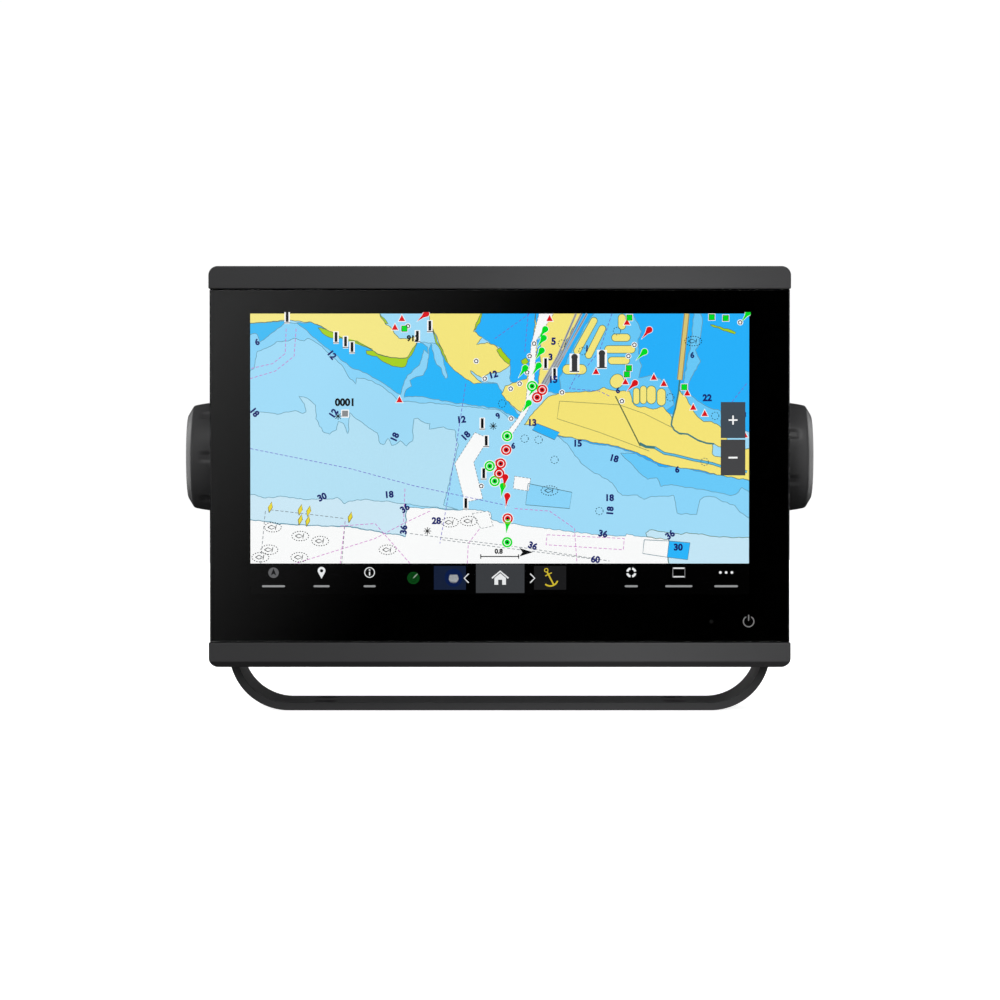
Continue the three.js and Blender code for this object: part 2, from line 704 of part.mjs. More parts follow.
// Flat cables: screen to board, cover glass to board, and card reader to board.
function makeRibbons() {
  const thin = 0.25;
  const back = trayBack + fit;
  const front = boardFront - fit - thin;
  const screenRibbon = block(-ribbonHalf, ribbonHalf, deep(back), deep(back + thin), ribbonZ, ribbonZ + 20)
    .add(block(-ribbonHalf, ribbonHalf, deep(back), deep(front + thin), ribbonZ, ribbonZ + thin))
    .add(block(-ribbonHalf, ribbonHalf, deep(front), deep(front + thin), ribbonZ, ribbonZ + 12));
  add('display_ribbon', screenRibbon, amberFilm);

  const low = touchSlotX[0] + 1;
  const high = touchSlotX[1] - 1;
  const slotZ = touchSlotTop - touchSlotHeight + 1.2;
  const turn = chassisBack + 3.5;
  const joinZ = boardBottom + 6;
  const touchRibbon = block(low, high, deep(tapeFront), deep(tapeFront + thin), slotZ, slotZ + 2.4)
    .add(block(low, high, deep(tapeFront), deep(turn + thin), slotZ, slotZ + thin))
    .add(block(low, high, deep(turn), deep(turn + thin), slotZ, joinZ))
    .add(block(low, high, deep(turn), deep(boardFront - fit), joinZ - thin, joinZ));
  add('touch_ribbon', touchRibbon, amberFilm);

  // the reader's parts are all centred in the card bay: half width, front, back, middle height, half height
  const readerFront = cardFloor - 14;
  const centred = (half, frontDepth, backDepth, z, halfHeight) => block(
    cardMiddleX - half, cardMiddleX + half,
    deep(frontDepth), deep(backDepth),
    z - halfHeight, z + halfHeight,
  );
  add('card_ribbon', centred(8, boardBack + fit, readerFront - fit, cardMiddleZ, thin / 2), amberFilm);
  let reader = centred(cardReaderHalf, readerFront, cardFloor - cardFloorWall - fit, cardMiddleZ, 7)
    .add(centred(readerNose, readerFront + 1, cardFloor - film, cardMiddleZ, readerNoseHalfHeight));
  for (const z of [cardMiddleZ - 2.6, cardMiddleZ + 2.6]) {
    reader = reader.subtract(centred(6, cardFloor - 9, cardFloor + 1, z, 0.7));
  }
  add('card_reader', reader, blackInk);
}

// ---------------------------------------------------------------- rear

// Each socket: its node name, barrel radius and the number of its pins.
const sockets = [
  ['power_socket', 9.5, 4],
  ['bus_socket', 7.5, 5],
  ['network_socket_1', 9.5, 5],
  ['network_socket_2', 9.5, 5],
  ['sonar_socket', 11, 8],
];
const socketX = (index) => -bayHalf + connectorPitch * (index + 0.5) + 1;
const groundX = bayHalf - 7.5;
const tailShare = 0.7;
const ventX = -rearHalf + 20;
const ventZ = bayTop + 14;
const ventStem = 2.5;
const groundScrewRadius = 2;
const pinRadius = 1;
const pinReach = 2.1;

function makeSockets() {
  sockets.forEach(([name, radius, pins], index) => {
    const x = socketX(index);
    const tail = radius * tailShare;
    const cup = radius - 1.9;
    const flangeFront = bayFloor + fit;
    const mouth = overallDepth;
    const cupFloor = mouth - 9;
    let socket = turnedY([
      [0, bayFloor - 9],
      [tail, bayFloor - 9],
      [tail, flangeFront],
      [radius + 1.4, flangeFront],
      [radius + 1.4, flangeFront + 2],
      [radius, flangeFront + 2],
      [radius, mouth],
      [cup, mouth],
      [cup, cupFloor],
      [0, cupFloor],
    ], x, bayMiddle);
    for (let i = 0; i < pins; i += 1) {
      const angle = ((i + 0.5) / pins) * 2 * Math.PI;
      const px = x + 0.55 * cup * Math.cos(angle);
      const pz = bayMiddle + 0.55 * cup * Math.sin(angle);
      socket = socket.add(rodY(0.7, deep(cupFloor - 1), deep(cupFloor + 4), px, pz, 6));
    }
    add(name, socket, nylon);
  });
}

// The drafted shell, with its screw bosses, pivot bosses, connector bay, card bay and fins.
function makeRearHousing() {
  const wall = bodyWall;
  const innerShare = (rearInside - bodyFront) / (bodyDepth - bodyFront);
  let housing = draftedBlock(
    bodyHalf, bodyHalfHeight, bodyCornerRadius,
    deep(bodyFront), deep(bodyDepth), bodyDraft,
  );
  const hollow = (front, back, draft) => draftedBlock(
    bodyHalf - wall, bodyHalfHeight - wall, bodyCornerRadius - wall,
    deep(front), deep(back), draft,
  );
  const outside = housing;
  housing = housing
    .subtract(hollow(bodyFront, rearInside, bodyDraft * innerShare))
    .subtract(hollow(bodyFront - 1, bodyFront + film, 0));

  for (const z of frameScrewZ) {
    for (const x of frameScrewX) {
      const boss = rodY(3, deep(bodyFront), deep(bodyFront + 13), x, z, 10).intersect(outside);
      const hole = rodY(frameScrewShank + fit, deep(bodyFront - 1), deep(bodyFront + 11), x, z, 8);
      housing = housing.add(boss).subtract(hole);
    }
  }

  for (const side of [-1, 1]) {
    const [discLow, discHigh] = span(side, bodyHalf - bodyDraft, bossFace);
    const [socketLow, socketHigh] = span(side, bossFace - insertLength - 2, bodyHalf - bodyDraft + 1);
    const [holeLow, holeHigh] = span(side, bossFace - insertLength - fit, bossFace + 1);
    housing = housing
      .add(rodX(pivotBossRadius, discLow, discHigh, pivotY, pivotZ, 32))
      .add(rodX(insertRadius + 2.5, socketLow, socketHigh, pivotY, pivotZ, 24))
      .subtract(rodX(insertRadius + fit, holeLow, holeHigh, pivotY, pivotZ, 24));
  }

  const bayCorner = 5;
  const bay = roundedRectangle(-bayHalf, bayHalf, bayBottom, bayTop, bayCorner);
  const bayHole = (radius, x, sides) => rodY(
    radius,
    deep(bayFloor - wall - 1), deep(bayFloor + 1),
    x, bayMiddle, sides,
  );
  housing = housing
    .add(block(
      -bayHalf - wall, bayHalf + wall,
      deep(bayFloor - wall), deep(rearInside + 0.5),
      bayBottom - wall, bayTop + wall,
    ))
    .subtract(plateY(bay, deep(bayFloor), deep(bodyDepth + 1)))
    .subtract(bayHole(groundScrewRadius + fit, groundX, 8));
  sockets.forEach(([, radius], index) => {
    housing = housing.subtract(bayHole(radius * tailShare + fit, socketX(index), 20));
  });

  const rebateTop = hingeZ + barrelRadius + 2 * fit;
  const rebateFloor = bodyDepth - doorThickness - fit;
  housing = housing
    .add(block(
      cardLeft - rebate - 3, cardRight + rebate + 3,
      deep(cardFloor - cardFloorWall), deep(rearInside + 0.5),
      cardBottom - wall, rebateTop + wall,
    ))
    .subtract(block(cardLeft, cardRight, deep(cardFloor), deep(bodyDepth + 1), cardBottom, cardTop))
    .subtract(block(
      cardLeft - rebate, cardRight + rebate,
      deep(rebateFloor), deep(bodyDepth + 1),
      cardBottom - rebate, rebateTop,
    ))
    .subtract(block(
      cardLeft - rebate, cardRight + rebate,
      deep(hingeDepth - barrelRadius - 2 * fit), deep(bodyDepth + 1),
      hingeZ - barrelRadius - fit, rebateTop,
    ))
    .subtract(block(
      cardMiddleX - readerNose - fit, cardMiddleX + readerNose + fit,
      deep(cardFloor - cardFloorWall - 1), deep(cardFloor + 1),
      cardMiddleZ - readerNoseHalfHeight - fit, cardMiddleZ + readerNoseHalfHeight + fit,
    ))
    .subtract(block(cardMiddleX - 8, cardMiddleX + 8, deep(bodyDepth - 1.7), deep(bodyDepth + 1),
      cardBottom - rebate - 3, cardBottom))
    .subtract(rodX(
      pinRadius + fit,
      cardLeft - rebate - pinReach - fit, cardRight + rebate + pinReach + fit,
      deep(hingeDepth), hingeZ, 12,
    ))
    .subtract(rodY(ventStem + fit, deep(rearInside - 1), deep(bodyDepth + 1), ventX, ventZ, 12));

  const finPitch = 8;
  const finWidth = 3;
  const finLeft = -rearHalf + 15;
  const finRight = cardLeft - rebate - 12;
  const finBottom = bayTop + 30;
  const finTop = bodyMiddle + rearHalfHeight - 14;
  for (let x = finLeft; x + finWidth <= finRight; x += finPitch) {
    const fin = block(x, x + finWidth, deep(bodyDepth - 1), deep(bodyDepth + 1.8), finBottom, finTop);
    housing = housing.add(fin);
  }
  add('rear_housing', housing, casePlastic);
}

function makeRearFittings() {
  add('ground_screw', screw(4, 2.6, groundScrewRadius, bayFloor + fit, 9, 1, groundX, bayMiddle), steel);
  const vent = rodY(6, deep(bodyDepth + fit), deep(bodyDepth + 2), ventX, ventZ, 20)
    .add(rodY(ventStem, deep(rearInside - 1.5), deep(bodyDepth + 1), ventX, ventZ, 12));
  add('vent_plug', vent, darkRubber);
  const plateHalf = 28;
  const plate = block(
    -plateHalf, plateHalf,
    deep(bodyDepth + 2 * film), deep(bodyDepth + 0.5),
    ventZ - 8, ventZ + 8,
  );
  add('rating_plate', plate, labelFilm);
}

// The card door, hinged along its top edge on a pin, with a seal inside it.
function makeCardDoor() {
  const gap = 0.4;
  const left = cardLeft - rebate + gap;
  const right = cardRight + rebate - gap;
  const front = deep(bodyDepth - doorThickness);
  const door = block(left, right, front, deep(bodyDepth), cardBottom - rebate + gap, hingeZ - 0.8)
    .add(rodX(barrelRadius, left, right, deep(hingeDepth), hingeZ, 20))
    .subtract(rodX(pinRadius + fit, left - 1, right + 1, deep(hingeDepth), hingeZ, 12));
  add('card_door', door, casePlastic);

  const sealGap = 0.8;
  const sealSection = 1.5;
  const sealBack = front - fit;
  const ring = (inset, low, high) => block(
    cardLeft + inset, cardRight - inset,
    low, high,
    cardBottom + inset, cardTop - inset,
  );
  const seal = ring(sealGap, sealBack - 1.2, sealBack)
    .subtract(ring(sealGap + sealSection, sealBack - 2, sealBack + 1));
  add('door_seal', seal, darkRubber);
  const pinLeft = cardLeft - rebate - pinReach;
  const pinRight = cardRight + rebate + pinReach;
  add('door_pin', rodX(pinRadius, pinLeft, pinRight, deep(hingeDepth), hingeZ, 12), steel);
}

// ---------------------------------------------------------------- the whole object

makeBracket();
// each knob stands where it came to rest when it was tightened, as a share of the step between flutes
for (const [label, side, turn] of [['left', -1, 0.5], ['right', 1, 0]]) {
  makeBush(label, side);
  makeWasher(label, side);
  makeKnob(label, side, turn);
  makeInsert(label, side);
}
makeTrims();
makeGlass();
makeScreenModule();
makeFrontFrame();
makeFrameScrews();
makeChassis();
makeBoard();
makeRibbons();
makeSockets();
makeRearHousing();
makeRearFittings();
makeCardDoor();

export default chartplotter;
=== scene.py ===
import json
from math import cos, exp, hypot, pi, radians, sin, tau

import bmesh
import bpy
from mathutils import Matrix, Vector, noise


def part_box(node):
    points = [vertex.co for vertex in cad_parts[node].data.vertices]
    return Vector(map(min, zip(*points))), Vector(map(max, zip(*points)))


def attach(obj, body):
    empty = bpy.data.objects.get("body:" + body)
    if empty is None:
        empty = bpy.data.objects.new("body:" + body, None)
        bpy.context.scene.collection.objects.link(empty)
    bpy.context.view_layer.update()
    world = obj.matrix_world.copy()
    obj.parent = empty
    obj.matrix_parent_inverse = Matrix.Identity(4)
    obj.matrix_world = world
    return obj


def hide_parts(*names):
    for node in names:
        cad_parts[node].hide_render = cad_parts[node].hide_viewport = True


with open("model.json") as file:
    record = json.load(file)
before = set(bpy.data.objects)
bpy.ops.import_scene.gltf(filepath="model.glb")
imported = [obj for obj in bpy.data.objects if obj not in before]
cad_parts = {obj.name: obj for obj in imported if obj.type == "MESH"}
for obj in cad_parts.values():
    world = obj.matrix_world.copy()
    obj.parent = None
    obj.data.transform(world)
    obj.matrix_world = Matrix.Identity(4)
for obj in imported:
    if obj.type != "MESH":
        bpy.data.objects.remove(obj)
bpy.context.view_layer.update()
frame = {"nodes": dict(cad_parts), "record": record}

# ---------------------------------------------------------------- bracket
# The bail bracket: one strip of 3.1 mm aluminium bent into a U, its arms tapered to round ends with an
# open slot in each for the clamp's bush. It is powder coated, so its finish is a fine dark orange peel.

MM = 0.001


def limits(node):
    """A node's low and high X, Y and Z, in millimetres."""
    low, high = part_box(node)
    return [(low[i] / MM, high[i] / MM) for i in range(3)]


def arc(centre, radius, start, end, steps):
    """Points along an arc, from one angle to the other in degrees."""
    angles = [radians(start + (end - start) * i / steps) for i in range(steps + 1)]
    return [(centre[0] + radius * cos(a), centre[1] + radius * sin(a)) for a in angles]


def at(axis, along, across):
    """A point from its place along an axis and its other two coordinates."""
    a, b = across
    return {"x": (along, a, b), "y": (a, along, b), "z": (a, b, along)}[axis]


def plate(points, low, high, axis):
    """An outline made a solid from low to high along an axis."""
    made = bmesh.new()
    face = made.faces.new([made.verts.new(at(axis, low, point)) for point in points])
    grown = bmesh.ops.extrude_face_region(made, geom=[face])["geom"]
    step = Vector(at(axis, high - low, (0, 0)))
    bmesh.ops.translate(made, vec=step, verts=[v for v in grown if isinstance(v, bmesh.types.BMVert)])
    bmesh.ops.recalc_face_normals(made, faces=made.faces)
    return made


def rectangle(low, high, low_2, high_2):
    return [(low, low_2), (high, low_2), (high, high_2), (low, high_2)]


def block(x, y, z):
    return plate(rectangle(*x, *y), *z, "z")


def rod(radius, low, high, axis, centre, sides=64, tip=None):
    """A round bar along an axis, with another radius at its high end where tip is given."""
    made = bmesh.new()
    bmesh.ops.create_cone(
        made, cap_ends=True, segments=sides, radius1=radius,
        radius2=radius if tip is None else tip, depth=high - low,
    )
    turn = {"x": Matrix.Rotation(pi / 2, 3, "Y"), "y": Matrix.Rotation(-pi / 2, 3, "X"),
            "z": Matrix.Identity(3)}
    bmesh.ops.rotate(made, matrix=turn[axis], verts=made.verts)
    bmesh.ops.translate(made, vec=Vector(at(axis, (low + high) / 2, centre)), verts=made.verts)
    return made


def bundle(parts):
    """Several shapes in one, each left as it is."""
    whole = bmesh.new()
    for part in parts:
        mesh = bpy.data.meshes.new("part")
        part.to_mesh(mesh)
        part.free()
        whole.from_mesh(mesh)
        bpy.data.meshes.remove(mesh)
    return whole


def combined(base, tools, operation="DIFFERENCE"):
    """The base with tools cut from it, joined to it or kept in common with it."""
    blanks = []
    for part in (base, bundle(tools)):
        mesh = bpy.data.meshes.new("blank")
        part.to_mesh(mesh)
        part.free()
        blanks.append(bpy.data.objects.new("blank", mesh))
        bpy.context.scene.collection.objects.link(blanks[-1])
    work = blanks[0].modifiers.new("work", "BOOLEAN")
    work.operation = operation
    work.solver = "EXACT"
    work.object = blanks[1]
    ready = blanks[0].evaluated_get(bpy.context.evaluated_depsgraph_get())
    mesh = bpy.data.meshes.new_from_object(ready)
    result = bmesh.new()
    result.from_mesh(mesh)
    for blank in blanks:
        bpy.data.objects.remove(blank)
    bpy.data.meshes.remove(mesh)
    bmesh.ops.remove_doubles(result, verts=result.verts, dist=1e-4)
    bmesh.ops.dissolve_limit(result, angle_limit=radians(0.3), verts=result.verts, edges=result.edges)
    return result


def place(name, made, body, finish, stands_for=(), rounding=0.0, steps=3, crease=32):
    """Makes a finished piece of a shape in millimetres, with its edges rounded, and rides it on a body."""
    bmesh.ops.scale(made, vec=(MM, MM, MM), verts=made.verts)
    mesh = bpy.data.meshes.new(name)
    made.to_mesh(mesh)
    made.free()
    mesh.materials.append(finish)
    mesh.shade_smooth()
    mesh.set_sharp_from_angle(angle=radians(crease))
    piece = bpy.data.objects.new(name, mesh)
    bpy.context.scene.collection.objects.link(piece)
    if rounding:
        edge = piece.modifiers.new("rounded_edges", "BEVEL")
        edge.width = rounding * MM
        edge.segments = steps
        edge.limit_method = "ANGLE"
        edge.angle_limit = radians(crease)
        edge.harden_normals = True
    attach(piece, body)
    if stands_for:
        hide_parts(*stands_for)
    return piece


class Wire:
    """An output in a material's nodes. Arithmetic on it adds Math nodes."""

    def __init__(self, tree, socket=None):
        self.tree = tree
        self.socket = socket

    def node(self, kind, settings=(), inputs=(), output=0):
        made = self.tree.nodes.new(kind)
        for name, value in dict(settings).items():
            setattr(made, name, value)
        for name, value in dict(inputs).items():
            if isinstance(value, Wire):
                self.tree.links.new(value.socket, made.inputs[name])
            else:
                made.inputs[name].default_value = value
        return Wire(self.tree, made.outputs[output] if made.outputs else None)

    def math(self, operation, *values):
        return self.node("ShaderNodeMath", {"operation": operation}, enumerate(values))

    def __add__(self, other):
        return self.math("ADD", self, other)

    __radd__ = __add__

    def __sub__(self, other):
        return self.math("SUBTRACT", self, other)

    def __rsub__(self, other):
        return self.math("SUBTRACT", other, self)

    def __mul__(self, other):
        return self.math("MULTIPLY", self, other)

    __rmul__ = __mul__

    def clamped(self):
        return self.math("MINIMUM", self.math("MAXIMUM", self, 0), 1)

    def blend(self, low, high):
        """Between two colours, by this value from 0 to 1."""
        return self.node("ShaderNodeMix", {"data_type": "RGBA"}, {0: self, 6: low, 7: high}, 2)

    def clouds(self, scale, detail, roughness=0.5):
        """Soft noise, read at this place."""
        inputs = {"Vector": self, "Scale": scale, "Detail": detail, "Roughness": roughness}
        return self.node("ShaderNodeTexNoise", {}, inputs)

    def relief(self, strength, depth):
        """A bump of this height, its depth in millimetres."""
        return self.node("ShaderNodeBump", {}, {"Strength": strength, "Distance": depth * MM, "Height": self})

    def axes(self):
        return [self.node("ShaderNodeSeparateXYZ", {}, {0: self}, output=i) for i in range(3)]


def ink(red, green, blue):
    """A colour as it looks on a screen, 0 to 255, as linear light."""
    shares = [c / 255 for c in (red, green, blue)]
    return (*(c / 12.92 if c < 0.0405 else ((c + 0.055) / 1.055) ** 2.4 for c in shares), 1)


def blank_finish(name):
    """A finish with no nodes yet, the start of its tree, and the place on the surface."""
    made = bpy.data.materials.new(name)
    made.use_nodes = True
    made.node_tree.nodes.clear()
    start = Wire(made.node_tree)
    return made, start, start.node("ShaderNodeTexCoord", output=3)


def coat(start, **inputs):
    """Ends a finish with its shader; a name's underscores stand for spaces."""
    values = {name.replace("_", " "): value for name, value in inputs.items()}
    shader = start.node("ShaderNodeBsdfPrincipled", {}, values)
    start.node("ShaderNodeOutputMaterial", {}, {"Surface": shader})


def grained(name, colour, roughness, grain, depth, mottle=0.12, metal=0.0, spread=0.08, **constants):
    """A moulded, coated or cast surface: a fine grain, with slow changes in its shade and gloss."""
    made, start, here = blank_finish(name)
    fine = here.clouds(1 / (grain * MM), 3)
    slow = here.clouds(28, 3, 0.6)
    shade = (slow * 0.7 + fine * 0.3).blend(
        (*(c * (1 - mottle) for c in colour[:3]), 1),
        (*(c * (1 + mottle) for c in colour[:3]), 1),
    )
    coat(
        start, Base_Color=shade, Metallic=metal,
        Roughness=(slow - 0.5) * spread * 2 + (fine - 0.5) * spread + roughness,
        Normal=fine.relief(0.35, depth), **constants,
    )
    return made


powder_coat = grained("powder_coat", ink(66, 66, 67), 0.6, 0.45, 0.05, mottle=0.1, Specular_IOR_Level=0.2)

(arm_low, arm_high), (band_front, band_back) = limits("bracket")[:2]
pivot_y = (band_front + band_back) / 2
pivot_z = sum(limits("knob_cap_left")[2]) / 2
strip = 3.1
bend = 24
arm_end = 20
slot_half = 6.3
hole_radius = 2.75
sink_radius = 5.5
base_holes = [(x, pivot_y + y) for x in (-71, 71) for y in (-13, 13)]

outer_left = arc((arm_low + bend, bend), bend, 180, 270, 28)
outer_right = arc((arm_high - bend, bend), bend, 270, 360, 28)
inner_right = arc((arm_high - bend, bend), bend - strip, 360, 270, 28)
inner_left = arc((arm_low + bend, bend), bend - strip, 270, 180, 28)
end_z = pivot_z + arm_end
band = plate(
    [(arm_low, end_z), *outer_left, *outer_right, (arm_high, end_z),
     (arm_high - strip, end_z), *inner_right, *inner_left, (arm_low + strip, end_z)],
    band_front, band_back, "y",
)
shoulder = bend + 6
side = plate(
    [(band_front, -1), (band_back, -1), (band_back, shoulder),
     *arc((pivot_y, pivot_z), arm_end, 0, 180, 48), (band_front, shoulder)],
    arm_low - 1, arm_high + 1, "x",
)
slot_outline = [
    *arc((pivot_y, pivot_z), slot_half, 180, 360, 32),
    (pivot_y + slot_half, end_z + 1), (pivot_y - slot_half, end_z + 1),
]
bracket = combined(band, [side], "INTERSECT")
bracket = combined(
    bracket,
    [plate(slot_outline, arm_low - 1, arm_low + 5, "x"), plate(slot_outline, arm_high - 5, arm_high + 1, "x")]
    + [rod(hole_radius, -1, strip + 0.9, "z", hole, 40) for hole in base_holes],
)
sinks = [rod(hole_radius, 1, strip + 0.01, "z", hole, 40, tip=sink_radius) for hole in base_holes]
bracket = combined(bracket, sinks)
place(
    "bail_bracket", bracket, "bracket", powder_coat, ["bracket"], rounding=0.55, steps=4,
)

# ---------------------------------------------------------------- bushes, washers and studs
# Each clamp's small parts: a nylon bush with a flat-sided key that rides in the arm's slot, a steel
# washer under the knob, an M8 stud that turns with the knob, and the knurled brass insert it screws into.

clamp_nylon = grained("clamp_nylon", ink(34, 35, 37), 0.5, 0.6, 0.03)


def turned_metal(name, colour, roughness, turning=0.35):
    """Turned metal: fine tool rings about the clamp's axis, along X, with faint rubbed patches."""
    made, start, here = blank_finish(name)
    from_axis = {"Vector": here, "Location": (0, -pivot_y * MM, -pivot_z * MM)}
    _, y, z = start.node("ShaderNodeMapping", {"vector_type": "POINT"}, from_axis).axes()
    rings = start.math("SINE", start.math("SQRT", y * y + z * z) * (tau / (turning * MM)))
    worn = here.clouds(240, 4)
    coat(
        start, Base_Color=worn.blend((*(c * 0.8 for c in colour[:3]), 1), colour), Metallic=1.0,
        Roughness=worn * 0.16 + roughness - 0.08, Normal=rings.relief(0.2, 0.02),
    )
    return made


bright_steel = turned_metal("bright_steel", ink(190, 192, 195), 0.28)
knurled_brass = turned_metal("knurled_brass", ink(205, 168, 92), 0.3, 0.8)


def repaint(node, finish, rounding=0.0, steps=2):
    """Gives a node its finish, on its own mesh, or on a merged copy with its edges rounded."""
    source = frame["nodes"][node]
    if not rounding:
        source.data.materials.clear()
        source.data.materials.append(finish)
        return
    made = bmesh.new()
    made.from_mesh(source.data)
    bmesh.ops.scale(made, vec=(1 / MM,) * 3, verts=made.verts)
    bmesh.ops.remove_doubles(made, verts=made.verts, dist=2e-3)
    bmesh.ops.dissolve_limit(made, angle_limit=radians(0.5), verts=made.verts, edges=made.edges)
    slot = next(part["material_slot"] for part in frame["record"]["subparts"] if part["node"] == node)
    body = next(b for b, nodes in frame["record"]["behaviour"]["bodies"].items() if node in nodes)
    place(f"{node}_shell", made, body, finish, [node], rounding, steps)


for hand in ("left", "right"):
    repaint(f"bush_{hand}", clamp_nylon, rounding=0.4)
    repaint(f"washer_{hand}", bright_steel, rounding=0.2)



def spun(points, centre, axis, steps):
    """A solid turned from a profile about an axis through the centre."""
    made = bmesh.new()
    path = [made.verts.new(point) for point in points]
    edges = [made.edges.new(pair) for pair in zip(path, path[1:])]
    bmesh.ops.spin(
        made, geom=[*path, *edges], cent=centre, axis=axis, angle=tau, steps=steps, use_merge=True,
    )
    bmesh.ops.remove_doubles(made, verts=made.verts, dist=1e-3)
    bmesh.ops.recalc_face_normals(made, faces=made.faces)
    return made


def spun_on_clamp(profile, steps):
    """A solid turned about the clamp's axis, from places along it and distances from it."""
    points = [(along, pivot_y, pivot_z + around) for along, around in profile]
    return spun(points, (0, pivot_y, pivot_z), (1, 0, 0), steps)


stud_radius = 3.9
thread_pitch = 1.25
core = stud_radius - 0.55
tip_radius = core - 0.6
for hand in ("left", "right"):
    low, high = limits(f"stud_{hand}")[0]
    profile = [(low, 0), (low, tip_radius), (low + 0.1, core)]
    for i in range(int((high - low - 1) / thread_pitch)):
        crest = low + 0.6 + thread_pitch * (i + 0.5)
        profile += [
            (crest - 0.45, core), (crest - 0.08, stud_radius), (crest + 0.08, stud_radius),
            (crest + 0.45, core),
        ]
    profile += [(high - 0.1, core), (high, tip_radius), (high, 0)]
    stud = spun_on_clamp(profile, 40)
    place(f"threaded_stud_{hand}", stud, f"knob_{hand}", bright_steel, [f"stud_{hand}"])
    repaint(f"insert_{hand}", knurled_brass, rounding=0.3)

# ---------------------------------------------------------------- knobs
# Two moulded grips with seven shallow finger flutes, a domed outer edge and a plain round cap pressed
# into the end. The charcoal plastic has a fine satin grain.

knob_plastic = grained("knob_plastic", ink(81, 81, 82), 0.4, 0.5, 0.035, mottle=0.1)
knob_radius = 22
knob_length = 16.2
flutes = 7
flute_half = 2.5
flute_depth = 0.8
flute_end = 9.6
knob_phase = {"left": 0.5, "right": 0.0}

for hand, out in (("left", -1), ("right", 1)):
    low, high = limits(f"knob_{hand}")[0]
    inner = high if out < 0 else low
    profile = [
        (0, 9.2), (4.2, 9.2), (4.2, 0.25), (4.5, 0.0), (19.9, 0.0), (20.3, 0.12), (20.5, 0.4),
        (20.95, 1.0), (21.35, 1.6), (21.75, 2.3), (21.95, 2.9), (22.0, 3.6), (22.0, 4.6), (22.0, 5.6),
        (22.0, 6.6), (21.95, 7.4), (21.8, 8.4), (21.65, 9.4), (21.5, 10.4), (21.3, 11.4), (21.1, 12.4),
        (20.95, 13.0), (20.8, 13.4), (20.5, 13.75), (20.0, 14.1), (18.9, 14.75), (17.8, 15.4),
        (17.0, 15.85), (16.5, 16.0), (16.1, 15.95), (15.9, 15.75), (15.84, 15.5), (15.84, 14.4),
        (0, 14.4),
    ]
    knob = spun_on_clamp([(inner + out * along, around) for around, along in profile], 420)
    for vert in knob.verts:
        along = out * (vert.co.x - inner)
        across = Vector((0, vert.co.y - pivot_y, vert.co.z - pivot_z))
        if across.length < 19 or along > 13.5:
            continue
        turn = Vector((0, 1)).angle_signed(Vector((across.z, across.y)), 0) / tau * flutes
        pitch = tau * knob_radius / flutes
        nearest = abs((turn + knob_phase[hand] + 0.5 + flutes) % 1 - 0.5) * pitch
        if nearest < flute_half:
            bowl = min(1, (1 - nearest / flute_half) * 1.7)
            ending = 1 / (1 + exp((along - flute_end) * 2.2))
            across *= 1 - flute_depth * bowl * ending / across.length
            vert.co.y = pivot_y + across.y
            vert.co.z = pivot_z + across.z
    place(f"grip_{hand}", knob, f"knob_{hand}", knob_plastic, [f"knob_{hand}"], crease=50)

    face = inner + out * knob_length
    cap_profile = [
        (0, -1.5), (15.3, -1.5), (15.54, -1.3), (15.54, -0.75), (15.35, -0.4), (14.9, -0.25),
        (14.3, -0.2), (14.15, -0.35), (13.85, -0.35), (13.7, -0.14), (11, -0.06), (6, -0.02), (0, 0),
    ]
    cap = spun_on_clamp([(face + out * along, around) for around, along in cap_profile], 120)
    place(f"grip_cap_{hand}", cap, f"knob_{hand}", knob_plastic, [f"knob_cap_{hand}"])

# ---------------------------------------------------------------- rear housing
# One drafted moulding in black textured plastic: cooling ribs, a sunk bay for the sockets, a card bay
# and a round boss each side for the clamp. Six screws from the front frame pull it onto its seal.

case_plastic = grained("case_plastic", ink(48, 49, 51), 0.56, 0.5, 0.06, mottle=0.14)
repaint("rear_housing", case_plastic, rounding=0.45)

# ---------------------------------------------------------------- rear fittings
# Five moulded sockets, each a threaded ring round its pins, with a steel ground screw beside them. A
# rubber vent plug lets the case breathe, and the rating plate is a blank sheet of brushed film.

